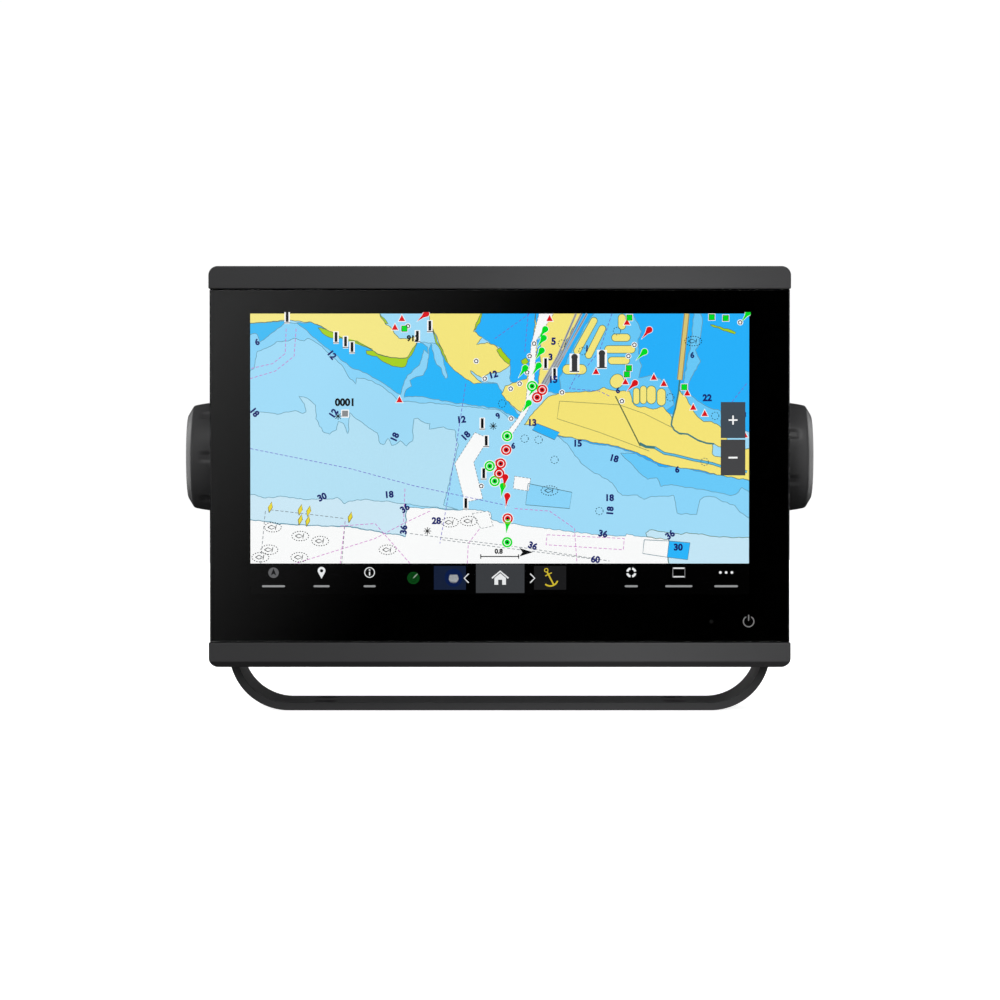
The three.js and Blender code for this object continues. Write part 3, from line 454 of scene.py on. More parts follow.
socket_plastic = grained("socket_plastic", ink(38, 39, 41), 0.42, 0.5, 0.02)
contact_metal = grained("contact_metal", ink(214, 178, 96), 0.25, 0.4, 0.01, metal=1.0)
sockets = {
    "power_socket": 4, "bus_socket": 5, "network_socket_1": 5, "network_socket_2": 5, "sonar_socket": 8,
}
for node, pins in sockets.items():
    (left, right), (back, mouth), (under, over) = limits(node)
    x = (left + right) / 2
    z = (under + over) / 2
    radius = (right - left) / 2 - 1.4
    cup = radius - 1.9
    tail = radius * 0.7
    bay_floor = mouth - 15.2
    profile = [
        (0, back), (tail, back), (tail, bay_floor), (radius + 1.4, bay_floor),
        (radius + 1.4, bay_floor + 1.7), (radius + 1.1, bay_floor + 2), (radius, bay_floor + 2),
    ]
    ring = bay_floor + 3.4
    while ring < mouth - 1.6:
        profile += [
            (radius - 0.5, ring - 0.5), (radius, ring - 0.1), (radius, ring + 0.1),
            (radius - 0.5, ring + 0.5),
        ]
        ring += 1.4
    profile += [
        (radius - 0.5, mouth - 0.4), (radius - 0.9, mouth), (cup + 0.3, mouth), (cup, mouth - 0.3),
        (cup, mouth - 9), (0, mouth - 9),
    ]
    shell = spun([(x + around, along, z) for around, along in profile], (x, 0, z), (0, 1, 0), 72)
    key = block((x - 0.8, x + 0.8), (mouth - 9.5, mouth - 1), (z + cup - 1.2, z + cup + 0.5))
    shell = combined(shell, [key], "UNION")
    place(f"{node}_body", shell, "display", socket_plastic, [node])
    contacts = []
    for i in range(pins):
        angle = (i + 0.5) / pins * tau
        spot = (x + 0.55 * cup * cos(angle), z + 0.55 * cup * sin(angle))
        contacts.append(rod(0.7, mouth - 9.1, mouth - 5.6, "y", spot, 20))
        contacts.append(rod(0.7, mouth - 5.6, mouth - 5.0, "y", spot, 20, tip=0.35))
    place(f"{node}_pins", bundle(contacts), "display", contact_metal)

zinc = grained("zinc_plate", ink(176, 178, 182), 0.3, 0.8, 0.015, metal=1.0)
vent_rubber = grained("soft_rubber", ink(38, 38, 39), 0.75, 0.7, 0.03)
plate_film = grained("plate_film", ink(176, 178, 180), 0.38, 0.25, 0.01, mottle=0.05)
repaint("ground_screw", zinc, rounding=0.25)
repaint("vent_plug", vent_rubber, rounding=0.4)
repaint("rating_plate", plate_film, rounding=0.12)

# ---------------------------------------------------------------- card door
# The door over the card bay: a small moulded flap on a steel pin, with a rubber seal pressed into its
# inner face. It swings up, and a finger notch in the housing under it helps it open.

repaint("card_door", case_plastic, rounding=0.35)
repaint("door_seal", vent_rubber, rounding=0.3)
repaint("door_pin", zinc, rounding=0.2)

# ---------------------------------------------------------------- electronics
# Behind the screen: the light guide in its pressed tray, the aluminium chassis plate, and the main board
# on four standoffs with its shield, antenna, buzzer, card reader and flat ribbons.

board_green = grained("board_laminate", ink(24, 88, 52), 0.4, 2.4, 0.03, mottle=0.3)
pressed_aluminium = grained("pressed_aluminium", ink(184, 187, 190), 0.38, 1.4, 0.02, metal=1.0)
light_guide = grained("light_guide", ink(232, 232, 226), 0.42, 1.2, 0.01, mottle=0.03)
fired_ceramic = grained("fired_ceramic", ink(204, 184, 140), 0.5, 0.3, 0.02)
amber_film = grained("amber_film", ink(176, 108, 34), 0.3, 1.1, 0.01, mottle=0.2)
black_moulding = grained("black_moulding", ink(30, 30, 31), 0.48, 0.5, 0.02)
electronics = {
    "backlight": light_guide, "lcd_tray": pressed_aluminium, "chassis_plate": pressed_aluminium,
    "main_board": board_green, "processor_shield": zinc, "gps_antenna": fired_ceramic,
    "buzzer": black_moulding, "light_sensor": black_moulding, "card_reader": black_moulding,
    "display_ribbon": amber_film, "touch_ribbon": amber_film, "card_ribbon": amber_film,
}
for node, finish in electronics.items():
    repaint(node, finish, rounding=0.1)
for i in range(1, 5):
    repaint(f"board_screw_{i}", zinc, rounding=0.15)
    repaint(f"chassis_screw_{i}", zinc, rounding=0.15)

# ---------------------------------------------------------------- front frame
# The moulded frame that everything hangs on, with the seal in its rear groove and six screws under the
# trim caps. The foam tape along its front edge holds the cover glass.

repaint("front_frame", case_plastic, rounding=0.25)
repaint("housing_seal", vent_rubber, rounding=0.2)
repaint("glass_tape", vent_rubber)
for i in range(1, 7):
    repaint(f"frame_screw_{i}", zinc, rounding=0.2)

# ---------------------------------------------------------------- lit picture
# What the panel shows: an invented coast on a chart, with its soundings and marks, and a black tool bar
# under it. Each layer is a thin lit sheet between the panel and the cover glass.

panel_x, (panel_front, _), panel_z = limits("lcd_panel")
screen_left, screen_right = panel_x[0] + 3.4, panel_x[1] - 3.4
screen_low, screen_high = panel_z[0] + 3.9, panel_z[1] - 3.4
bar_height = 12.3
chart_low = screen_low + bar_height
chart_width = screen_right - screen_left
chart_height = screen_high - chart_low
layer_step = 0.014
dot_pitch = 0.156

lit_picture, start, here = blank_finish("lit_picture")
shown = start.node("ShaderNodeAttribute", {"attribute_name": "picture"}, output=0)
across, _, upward = here.axes()
columns = start.math("SINE", across * (tau / (dot_pitch * MM)))
rows = start.math("SINE", upward * (tau / (dot_pitch * MM)))
clouding = here.clouds(16, 2)
dimming = (columns + rows) * 0.02 + clouding * 0.06
coat(
    start, Base_Color=ink(4, 4, 5), Roughness=clouding * 0.1 + 0.5, Specular_IOR_Level=0.0,
    Emission_Color=dimming.clamped().blend(shown, ink(0, 0, 0)), Emission_Strength=1.08,
    Normal=(columns * rows).relief(0.1, 0.01),
)


class Sheet:
    """Flat coloured shapes in one layer of the picture, its place counted forward from the panel."""

    def __init__(self, name, layer):
        self.name = name
        self.depth = panel_front - layer_step * (layer + 1)
        self.mesh = bmesh.new()
        self.ink = self.mesh.loops.layers.float_color.new("picture")

    def paint(self, faces, colour):
        for face in faces:
            for loop in face.loops:
                loop[self.ink] = colour

    def fill(self, points, colour):
        verts = [self.mesh.verts.new((x, self.depth, z)) for x, z in points]
        self.paint([self.mesh.faces.new(verts)], colour)

    def line(self, points, width, colour, dash=0.0, gap=0.0):
        """A line through the points, broken into dashes where a dash length is given."""
        if dash:
            travelled = 0.0
            for start, end in zip(points, points[1:]):
                length = hypot(end[0] - start[0], end[1] - start[1])
                step = (end[0] - start[0]) / length, (end[1] - start[1]) / length
                from_here = -(travelled % (dash + gap))
                while from_here < length:
                    near, far = max(0, from_here), min(length, from_here + dash)
                    if far > near:
                        ends = [(start[0] + step[0] * d, start[1] + step[1] * d) for d in (near, far)]
                        self.line(ends, width, colour)
                    from_here += dash + gap
                travelled += length
            return
        left, right = [], []
        for i, (x, z) in enumerate(points):
            before, after = points[max(0, i - 1)], points[min(len(points) - 1, i + 1)]
            run = hypot(after[0] - before[0], after[1] - before[1]) or 1
            aside = (before[1] - after[1]) / run * width / 2, (after[0] - before[0]) / run * width / 2
            left.append(self.mesh.verts.new((x + aside[0], self.depth, z + aside[1])))
            right.append(self.mesh.verts.new((x - aside[0], self.depth, z - aside[1])))
        for i in range(len(points) - 1):
            self.paint([self.mesh.faces.new((left[i], left[i + 1], right[i + 1], right[i]))], colour)

    def loop(self, points, width, colour, dash=0.0, gap=0.0):
        self.line([*points, points[0]], width, colour, dash, gap)

    def write(self, text, x, z, size, colour, turn=0.0):
        """A number, its middle at the point given."""
        curve = bpy.data.curves.new("number", "FONT")
        curve.body = text
        curve.size = size
        curve.align_x = "CENTER"
        curve.align_y = "CENTER"
        curve.offset = size * 0.05
        curve.resolution_u = 3
        letters = bpy.data.objects.new("number", curve)
        bpy.context.scene.collection.objects.link(letters)
        mesh = bpy.data.meshes.new_from_object(letters.evaluated_get(bpy.context.evaluated_depsgraph_get()))
        bpy.data.objects.remove(letters)
        stand = Matrix.Rotation(pi / 2, 4, "X")
        tilt = Matrix.Rotation(-radians(turn), 4, "Y")
        mesh.transform(Matrix.Translation((x, self.depth, z)) @ tilt @ stand)
        known = len(self.mesh.faces)
        self.mesh.from_mesh(mesh)
        self.mesh.faces.ensure_lookup_table()
        self.paint(self.mesh.faces[known:], colour)
        bpy.data.meshes.remove(mesh)

    def done(self):
        """Turns every face forward, gives the sheet its thickness and rides it on the display."""
        for face in self.mesh.faces:
            face.normal_update()
            if face.normal.y > 0:
                face.normal_flip()
        piece = place(self.name, self.mesh, "display", lit_picture)
        wall = piece.modifiers.new("thickness", "SOLIDIFY")
        wall.thickness = layer_step / 2 * MM
        wall.offset = -1
        return piece


def on_chart(across, down):
    """A place on the chart, in shares of its width and height from its top left corner."""
    return screen_left + across * chart_width, screen_high - down * chart_height


def charted(points):
    return [on_chart(*point) for point in points]


shelf_water, shallow_water = ink(142, 216, 253), ink(108, 204, 252)
land, beach_land, marsh = ink(250, 234, 128), ink(250, 232, 122), ink(171, 212, 32)

# the ground and the water over it, from the deepest layer of colour up: each outline is roughened a little
ground = [
    # pale water
    (0, ink(184, 229, 249), [(0, 0.387), (0.025, 0.394), (0.055, 0.402), (0.088, 0.387), (0.105, 0.401),
      (0.112, 0.394), (0.108, 0.357), (0.096, 0.33), (0.115, 0.337), (0.131, 0.367), (0.132, 0.421),
      (0.145, 0.471), (0.159, 0.484), (0.172, 0.464), (0.177, 0.431), (0.186, 0.441), (0.196, 0.481),
      (0.199, 0.394), (0.212, 0.421), (0.232, 0.447), (0.254, 0.477), (0.261, 0.521), (0.266, 0.526),
      (0.276, 0.5), (0.283, 0.526), (0.293, 0.521), (0.301, 0.508), (0.313, 0.528), (0.325, 0.508),
      (0.328, 0.421), (0.336, 0.421), (0.35, 0.439), (0.362, 0.437), (0.359, 0.461), (0.367, 0.461),
      (0.387, 0.454), (0.41, 0.467), (0.417, 0.528), (0.408, 0.595), (0.393, 0.728), (0.387, 0.768),
      (0.417, 0.785), (0.316, 0.764), (0.273, 0.751), (0.229, 0.744), (0.189, 0.758), (0.165, 0.741),
      (0.108, 0.744), (0.065, 0.731), (0.031, 0.738), (0, 0.721)]),
    # paler water
    (1, ink(208, 236, 250), [(0, 0.721), (0.031, 0.738), (0.065, 0.731), (0.108, 0.744), (0.165, 0.741),
      (0.175, 0.738), (0.189, 0.759), (0.199, 0.748), (0.229, 0.744), (0.273, 0.751), (0.313, 0.762),
      (0.31, 0.89), (0.289, 0.882), (0.266, 0.877), (0.246, 0.868), (0.196, 0.851), (0.132, 0.848),
      (0.058, 0.841), (0.028, 0.828), (0, 0.825)]),
    # deep water
    (2, ink(255, 255, 255), [(0, 0.826), (0.028, 0.829), (0.058, 0.843), (0.132, 0.849), (0.196, 0.853),
      (0.246, 0.87), (0.266, 0.878), (0.289, 0.883), (0.31, 0.892), (0.314, 0.775), (0.333, 0.777),
      (0.367, 0.778), (0.417, 0.788), (0.45, 0.785), (0.481, 0.795), (0.484, 0.822), (0.501, 0.837),
      (0.534, 0.843), (0.568, 0.854), (0.618, 0.865), (0.668, 0.878), (0.702, 0.885), (0.752, 0.892),
      (0.755, 0.882), (0.769, 0.888), (0.796, 0.894), (0.839, 0.904), (0.838, 1), (0, 1)]),
    # right shallows
    (3, ink(200, 234, 250), [(0.84, 0.905), (0.796, 0.893), (0.793, 0.876), (0.802, 0.866),
      (0.829, 0.872), (0.856, 0.882), (0.876, 0.879), (0.903, 0.882), (0.923, 0.892), (0.957, 0.896),
      (1, 0.894), (1, 1), (0.839, 1)]),
    # shelf
    (0, shelf_water, [(0, 0.038), (0.125, 0.038), (0.186, 0.103), (0.286, 0.176), (0.336, 0.113),
      (0.373, 0.119), (0.434, 0.26), (0.494, 0.28), (0.521, 0.367), (0.548, 0.421), (0.521, 0.421),
      (0.501, 0.387), (0.434, 0.372), (0.367, 0.358), (0.31, 0.352), (0.296, 0.347), (0.283, 0.32),
      (0.259, 0.285), (0.232, 0.261), (0.214, 0.257), (0.211, 0.28), (0.199, 0.257), (0.186, 0.213),
      (0.172, 0.185), (0.152, 0.153), (0.145, 0.133), (0.132, 0.118), (0.115, 0.099), (0.108, 0.11),
      (0.088, 0.099), (0.075, 0.11), (0.051, 0.114), (0.041, 0.13), (0.025, 0.144), (0.015, 0.154),
      (0.01, 0.186), (0.007, 0.223), (0, 0.228)]),
    # east shelf
    (0, shelf_water, [(0.615, 0.49), (0.635, 0.521), (0.663, 0.598), (0.688, 0.635), (0.719, 0.668),
      (0.746, 0.728), (0.776, 0.727), (0.79, 0.745), (0.802, 0.734), (0.849, 0.728), (0.856, 0.799),
      (0.896, 0.805), (0.902, 0.745), (0.91, 0.732), (0.93, 0.732), (0.943, 0.748), (0.97, 0.768),
      (0.983, 0.795), (1, 0.819), (1, 0.661), (0.869, 0.615), (0.769, 0.554), (0.685, 0.501)]),
    # near shore patch
    (1, ink(63, 190, 248), [(0, 0.039), (0.075, 0.03), (0.051, 0.066), (0.035, 0.093), (0.018, 0.113),
      (0.015, 0.083), (0.008, 0.079), (0, 0.087)]),
    # west flats
    (1, ink(53, 190, 254), [(0.093, 0.039), (0.125, 0.037), (0.186, 0.099), (0.286, 0.173),
      (0.336, 0.111), (0.346, 0.119), (0.356, 0.133), (0.356, 0.16), (0.348, 0.143), (0.345, 0.173),
      (0.34, 0.2), (0.326, 0.227), (0.311, 0.26), (0.305, 0.293), (0.301, 0.322), (0.293, 0.314),
      (0.266, 0.277), (0.232, 0.24), (0.206, 0.217), (0.186, 0.193), (0.159, 0.146), (0.132, 0.103),
      (0.112, 0.067)]),
    # cut flats
    (1, ink(44, 186, 255), [(0.358, 0.15), (0.362, 0.119), (0.373, 0.206), (0.382, 0.22), (0.39, 0.261),
      (0.395, 0.253), (0.388, 0.193), (0.378, 0.126), (0.387, 0.153), (0.417, 0.233), (0.45, 0.277),
      (0.494, 0.28), (0.521, 0.367), (0.548, 0.421), (0.534, 0.421), (0.501, 0.382), (0.434, 0.362),
      (0.377, 0.347), (0.34, 0.33), (0.308, 0.335), (0.313, 0.303), (0.324, 0.291), (0.32, 0.267),
      (0.333, 0.253), (0.346, 0.245), (0.355, 0.217)]),
    # bay
    (1, ink(42, 180, 255), [(0.462, 0), (0.45, 0.073), (0.481, 0.119), (0.501, 0.136), (0.521, 0.193),
      (0.521, 0.273), (0.568, 0.307), (0.621, 0.32), (0.769, 0.387), (0.826, 0.394), (0.856, 0.407),
      (0.903, 0.427), (1, 0.474), (1, 0)]),
    # island shallows
    (2, shallow_water, [(0.624, 0.314), (0.619, 0.26), (0.628, 0.22), (0.645, 0.146), (0.668, 0.059),
      (0.688, 0), (0.765, 0), (0.777, 0.033), (0.784, 0.073), (0.776, 0.113), (0.779, 0.166),
      (0.784, 0.213), (0.779, 0.257), (0.802, 0.247), (0.822, 0.26), (0.836, 0.28), (0.846, 0.327),
      (0.849, 0.367), (0.826, 0.394), (0.769, 0.387)]),
    # causeway shallows
    (2, shallow_water, [(0.89, 0), (0.903, 0), (0.907, 0.033), (0.9, 0.119), (0.892, 0.146),
      (0.902, 0.193), (0.886, 0.247), (0.879, 0.287), (0.879, 0.327), (0.866, 0.34), (0.869, 0.273),
      (0.883, 0.113)]),
    # east bank
    (1, ink(108, 205, 253), [(0.742, 0.558), (0.762, 0.598), (0.779, 0.635), (0.796, 0.665),
      (0.816, 0.656), (0.824, 0.69), (0.846, 0.685), (0.873, 0.696), (0.903, 0.703), (0.933, 0.715),
      (0.963, 0.728), (0.98, 0.715), (0.985, 0.696), (1, 0.712), (1, 0.655), (0.953, 0.628),
      (0.886, 0.611), (0.836, 0.598), (0.779, 0.561)]),
    # east shore
    (2, ink(38, 172, 255), [(0.611, 0.49), (0.651, 0.498), (0.685, 0.521), (0.719, 0.529), (0.745, 0.542),
      (0.772, 0.561), (0.802, 0.588), (0.819, 0.611), (0.836, 0.615), (0.863, 0.611), (0.903, 0.635),
      (0.953, 0.651), (1, 0.669), (1, 0.635), (0.903, 0.615), (0.802, 0.548), (0.702, 0.501),
      (0.635, 0.474)]),
    # west land
    (3, ink(250, 236, 137), [(0, 0), (0, 0.038), (0.038, 0.033), (0.075, 0.026), (0.125, 0.037),
      (0.145, 0.054), (0.165, 0.078), (0.186, 0.099), (0.212, 0.114), (0.232, 0.13), (0.246, 0.15),
      (0.263, 0.166), (0.286, 0.177), (0.315, 0.177), (0.325, 0.152), (0.333, 0.126), (0.336, 0.109),
      (0.328, 0.093), (0.318, 0.103), (0.299, 0.099), (0.289, 0.079), (0.283, 0.059), (0.271, 0.043),
      (0.266, 0.019), (0.259, 0)]),
    # key land
    (3, land, [(0.358, 0), (0.363, 0.046), (0.373, 0.093), (0.38, 0.123), (0.388, 0.156), (0.395, 0.196),
      (0.407, 0.223), (0.42, 0.245), (0.434, 0.261), (0.449, 0.279), (0.465, 0.279), (0.457, 0.263),
      (0.444, 0.243), (0.442, 0.228), (0.464, 0.257), (0.481, 0.237), (0.499, 0.235), (0.511, 0.223),
      (0.521, 0.205), (0.517, 0.18), (0.501, 0.15), (0.491, 0.126), (0.474, 0.116), (0.454, 0.126),
      (0.465, 0.093), (0.447, 0.071), (0.458, 0.033), (0.463, 0)]),
    # spit
    (3, land, [(0.572, 0), (0.575, 0.073), (0.574, 0.166), (0.568, 0.247), (0.564, 0.307), (0.551, 0.367),
      (0.544, 0.394), (0.531, 0.38), (0.514, 0.347), (0.503, 0.32), (0.511, 0.293), (0.534, 0.273),
      (0.554, 0.26), (0.562, 0.193), (0.568, 0.093)]),
    # spit east
    (3, land, [(0.588, 0), (0.665, 0), (0.645, 0.066), (0.625, 0.146), (0.605, 0.213), (0.588, 0.273),
      (0.575, 0.314), (0.581, 0.213), (0.583, 0.126)]),
    # beach land
    (3, beach_land, [(0.549, 0.445), (0.568, 0.394), (0.581, 0.367), (0.598, 0.332), (0.621, 0.318),
      (0.645, 0.315), (0.668, 0.314), (0.692, 0.308), (0.71, 0.294), (0.73, 0.31), (0.76, 0.311),
      (0.769, 0.367), (0.784, 0.374), (0.816, 0.38), (0.827, 0.372), (0.8455, 0.4157), (0.844, 0.44),
      (0.849, 0.466), (0.86, 0.48), (0.877, 0.483), (0.897, 0.507), (0.914, 0.519), (0.926, 0.523),
      (0.926, 0.56), (0.931, 0.57), (0.95, 0.576), (0.97, 0.545), (1, 0.54), (1, 0.668), (0.936, 0.645),
      (0.9, 0.625), (0.853, 0.615), (0.819, 0.601), (0.802, 0.578), (0.769, 0.551), (0.735, 0.53),
      (0.688, 0.514), (0.648, 0.497), (0.618, 0.487), (0.588, 0.464), (0.568, 0.447)]),
    # beach land east
    (3, beach_land, [(0.859, 0.305), (0.877, 0.345), (0.89, 0.392), (0.896, 0.412), (0.909, 0.432),
      (0.924, 0.432), (0.942, 0.449), (0.955, 0.5), (0.95, 0.53), (0.941, 0.532), (0.93, 0.52),
      (0.914, 0.517), (0.897, 0.505), (0.877, 0.481), (0.86, 0.478), (0.85, 0.464), (0.845, 0.44),
      (0.847, 0.4157), (0.852, 0.379)]),
    # its shallows
    (2, shallow_water, [(0.859, 0.285), (0.875, 0.31), (0.889, 0.335), (0.905, 0.36), (0.92, 0.375),
      (0.943, 0.39), (0.945, 0.46), (0.924, 0.445), (0.896, 0.425), (0.87, 0.36)]),
    # beaches
    (4, marsh, [(0.137, 0.056), (0.155, 0.065), (0.175, 0.086), (0.186, 0.103), (0.212, 0.116),
      (0.244, 0.143), (0.232, 0.13), (0.212, 0.11), (0.186, 0.098), (0.175, 0.098), (0.159, 0.098),
      (0.144, 0.079)]),
    (4, marsh, [(0.232, 0.148), (0.246, 0.15), (0.263, 0.168), (0.286, 0.178), (0.315, 0.178),
      (0.335, 0.113), (0.328, 0.153), (0.316, 0.186), (0.311, 0.213), (0.293, 0.213), (0.273, 0.2),
      (0.253, 0.173), (0.234, 0.16)]),
    (4, marsh, [(0.362, 0.046), (0.373, 0.103), (0.388, 0.156), (0.397, 0.2), (0.393, 0.193),
      (0.385, 0.16), (0.37, 0.103)]),
    (4, marsh, [(0.447, 0.071), (0.462, 0.033), (0.465, 0), (0.462, 0), (0.455, 0.033)]),
    (4, marsh, [(0.501, 0.136), (0.511, 0.163), (0.521, 0.186), (0.521, 0.206), (0.507, 0.186),
      (0.499, 0.168), (0.494, 0.146)]),
    (4, marsh, [(0.543, 0.186), (0.551, 0.176), (0.558, 0.193), (0.551, 0.206), (0.545, 0.2)]),
    (4, marsh, [(0.923, 0.043), (0.946, 0.056), (0.973, 0.073), (0.97, 0.083), (0.95, 0.067),
      (0.926, 0.051)]),
    (4, marsh, [(0.259, 0), (0.271, 0.026), (0.276, 0.043), (0.27, 0.039), (0.264, 0.022)]),
]


def strayed(place_now, shift, low, high):
    """The place moved by the shift, held inside the chart, or left on the edge it lies on."""
    for edge in (low, high):
        if abs(place_now - edge) < 0.001:
            return edge
    return min(max(place_now + shift, low), high)


def ragged(outline):
    """The outline in short steps that wander, kept inside the chart."""
    wandering = []
    for (x0, z0), (x1, z1) in zip(outline, [*outline[1:], outline[0]]):
        steps = max(1, round(hypot(x1 - x0, z1 - z0) / 0.8))
        for i in range(steps):
            x, z = x0 + (x1 - x0) * i / steps, z0 + (z1 - z0) * i / steps
            shift = noise.noise_vector(Vector((x / 1.9, z / 1.9, 3))) * 0.5
            x = strayed(x, shift.x, screen_left, screen_right)
            z = strayed(z, shift.y, chart_low, screen_high)
            wandering.append((x, z))
    return wandering


def shore_runs(outline):
    """The stretches of the outline that don't lie on the edge of the chart."""
    runs = [[]]
    for x, z in [*outline, outline[0]]:
        runs[-1].append((x, z))
        if x in (screen_left, screen_right) or z in (chart_low, screen_high):
            runs.append([(x, z)])
    return [run for run in runs if len(run) > 2]


water = Sheet("chart_water", 0)
water.fill(rectangle(screen_left, screen_right, chart_low, screen_high), ink(163, 223, 252))
water.done()
for level in range(5):
    layer = Sheet(f"chart_ground_{level + 1}", 1 + 2 * level)
    shores = Sheet(f"chart_shores_{level + 1}", 2 + 2 * level)
    for colour, outline in [(colour, outline) for at_level, colour, outline in ground if at_level == level]:
        points = ragged(charted(outline))
        layer.fill(points, colour)
        for run in shore_runs(points):
            shores.line(run, 0.24, ink(92, 112, 84) if level > 2 else ink(104, 152, 172))
    layer.done()
    shores.done()

white, black, navy = ink(255, 255, 255), ink(16, 18, 20), ink(30, 38, 108)
red, green, yellow, magenta = ink(222, 22, 30), ink(4, 224, 40), ink(238, 220, 60), ink(206, 110, 200)
grey_line = ink(120, 128, 134)

areas = Sheet("chart_areas", 11)
edges = Sheet("chart_edges", 12)
lines = Sheet("chart_lines", 13)
borders = Sheet("chart_mark_edges", 14)
marks = Sheet("chart_marks", 15)
numbers = Sheet("chart_numbers", 16)


def capsule(sheet, middle, length, width, turn, colour):
    """A round-ended bar, turned anticlockwise by the angle."""
    half = max(0, length / 2 - width / 2)
    points = [*arc((half, 0), width / 2, -90, 90, 10), *arc((-half, 0), width / 2, 90, 270, 10)]
    c, s = cos(radians(turn)), sin(radians(turn))
    sheet.fill([(middle[0] + x * c - z * s, middle[1] + x * s + z * c) for x, z in points], colour)


def shape(sheet, middle, points, colour, size=1.0, turn=0.0):
    c, s = cos(radians(turn)) * size, sin(radians(turn)) * size
    sheet.fill([(middle[0] + x * c - z * s, middle[1] + x * s + z * c) for x, z in points], colour)


def islands(spots):
    """Made ground in the bay: a dark shore line and the land on it."""
    for across, down, length, width, turn in spots:
        middle = on_chart(across, down)
        capsule(edges, middle, length + 0.5, width + 0.5, turn, ink(78, 120, 84))
        capsule(lines, middle, length, width, turn, land)


islands([
    (0.672, 0.089, 16.3, 2.5, 61), (0.692, 0.113, 14.4, 2.5, 63), (0.65, 0.223, 9.4, 3.7, 0),
    (0.745, 0.033, 6, 2.8, 90), (0.743, 0.096, 7.2, 2.8, 0), (0.741, 0.143, 12, 2.8, 0),
    (0.739, 0.188, 8.4, 2.7, 0), (0.735, 0.27, 5.6, 5, 50), (0.774, 0.33, 6.3, 2.3, 90),
    (0.788, 0.325, 7, 2.4, 90), (0.804, 0.325, 7, 3.4, 90), (0.824, 0.334, 6.6, 3.2, 90),
])

# dredged channels, their sides drawn thin
channels = [
    [(0.579, 0.0), (0.608, 0.0), (0.574, 0.106), (0.568, 0.31), (0.561, 0.367), (0.55, 0.41), (0.526, 0.48),
     (0.516, 0.47), (0.536, 0.42), (0.552, 0.36), (0.557, 0.26), (0.563, 0.126)],
    [(0.45, 0.475), (0.478, 0.5), (0.448, 0.595), (0.466, 0.74), (0.43, 0.755), (0.41, 0.6)],
    [(0.445, 0.8), (0.477, 0.79), (0.487, 0.85), (0.462, 0.86)],
    [(0.53, 0.65), (0.562, 0.66), (0.558, 0.71), (0.527, 0.7)],
]
for outline in channels:
    points = charted(outline)
    edges.fill(points, white)
    lines.loop(points, 0.22, grey_line, dash=1.0, gap=0.5)
for shift in (-0.011, 0.0, 0.011):
    run = charted([(0.664 + shift, 0.0), (0.622 + shift / 2, 0.17), (0.585 + shift / 2, 0.3)])
    lines.line(run, 0.9, ink(176, 178, 180))
    lines.line(run, 0.25, ink(88, 90, 92))

# surveyed boxes, a causeway, a canal and a creek, and the roads on the beach
boxes = [
    ([(0.557, 0.68), (0.645, 0.715), (0.64, 0.78), (0.552, 0.765)], shelf_water),
    ([(0.79, 0.905), (0.84, 0.91), (0.836, 0.975), (0.787, 0.96)], white),
    ([(0.84, 0.91), (0.882, 0.917), (0.877, 0.985), (0.836, 0.975)], ink(46, 184, 255)),
    ([(0.575, 0.44), (0.62, 0.475), (0.61, 0.505), (0.565, 0.465)], ink(46, 184, 255)),
]
for outline, colour in boxes:
    points = charted(outline)
    edges.fill(points, colour)
    lines.loop(points, 0.28, ink(84, 124, 140))
causeway = charted([(0.875, 0.0), (0.868, 0.13), (0.861, 0.265)])
areas.line(causeway, 2.3, ink(150, 140, 96))
edges.line(causeway, 1.5, ink(222, 200, 120))
bank_ink = ink(70, 128, 132)
canal = [
    (0.861, 0.265), (0.858, 0.32), (0.852, 0.379), (0.846, 0.42), (0.844, 0.445), (0.85, 0.466),
    (0.86, 0.479), (0.877, 0.482), (0.897, 0.506), (0.914, 0.518), (0.93, 0.521),
]
edges.line(charted(canal), 0.65, bank_ink)
creek = [
    (0.78, 0.519), (0.793, 0.5325), (0.811, 0.536), (0.83, 0.559), (0.85, 0.566), (0.89, 0.586),
    (0.91, 0.593), (0.927, 0.6), (0.942, 0.61), (0.996, 0.633),
]
edges.line(charted(creek), 1.15, bank_ink)
lines.line(charted(creek[2:]), 0.6, ink(96, 190, 236))
lines.line(charted([(0.732, 0.33), (0.757, 0.43), (0.782, 0.53)]), 0.5, ink(96, 112, 76))
road_ink = ink(150, 150, 90)
lines.line(charted([(0.62, 0.35), (0.615, 0.42), (0.7, 0.475), (0.8, 0.55)]), 0.25, road_ink)
lines.line(charted([(0.62, 0.35), (0.74, 0.365), (0.79, 0.4), (0.85, 0.46)]), 0.25, road_ink)

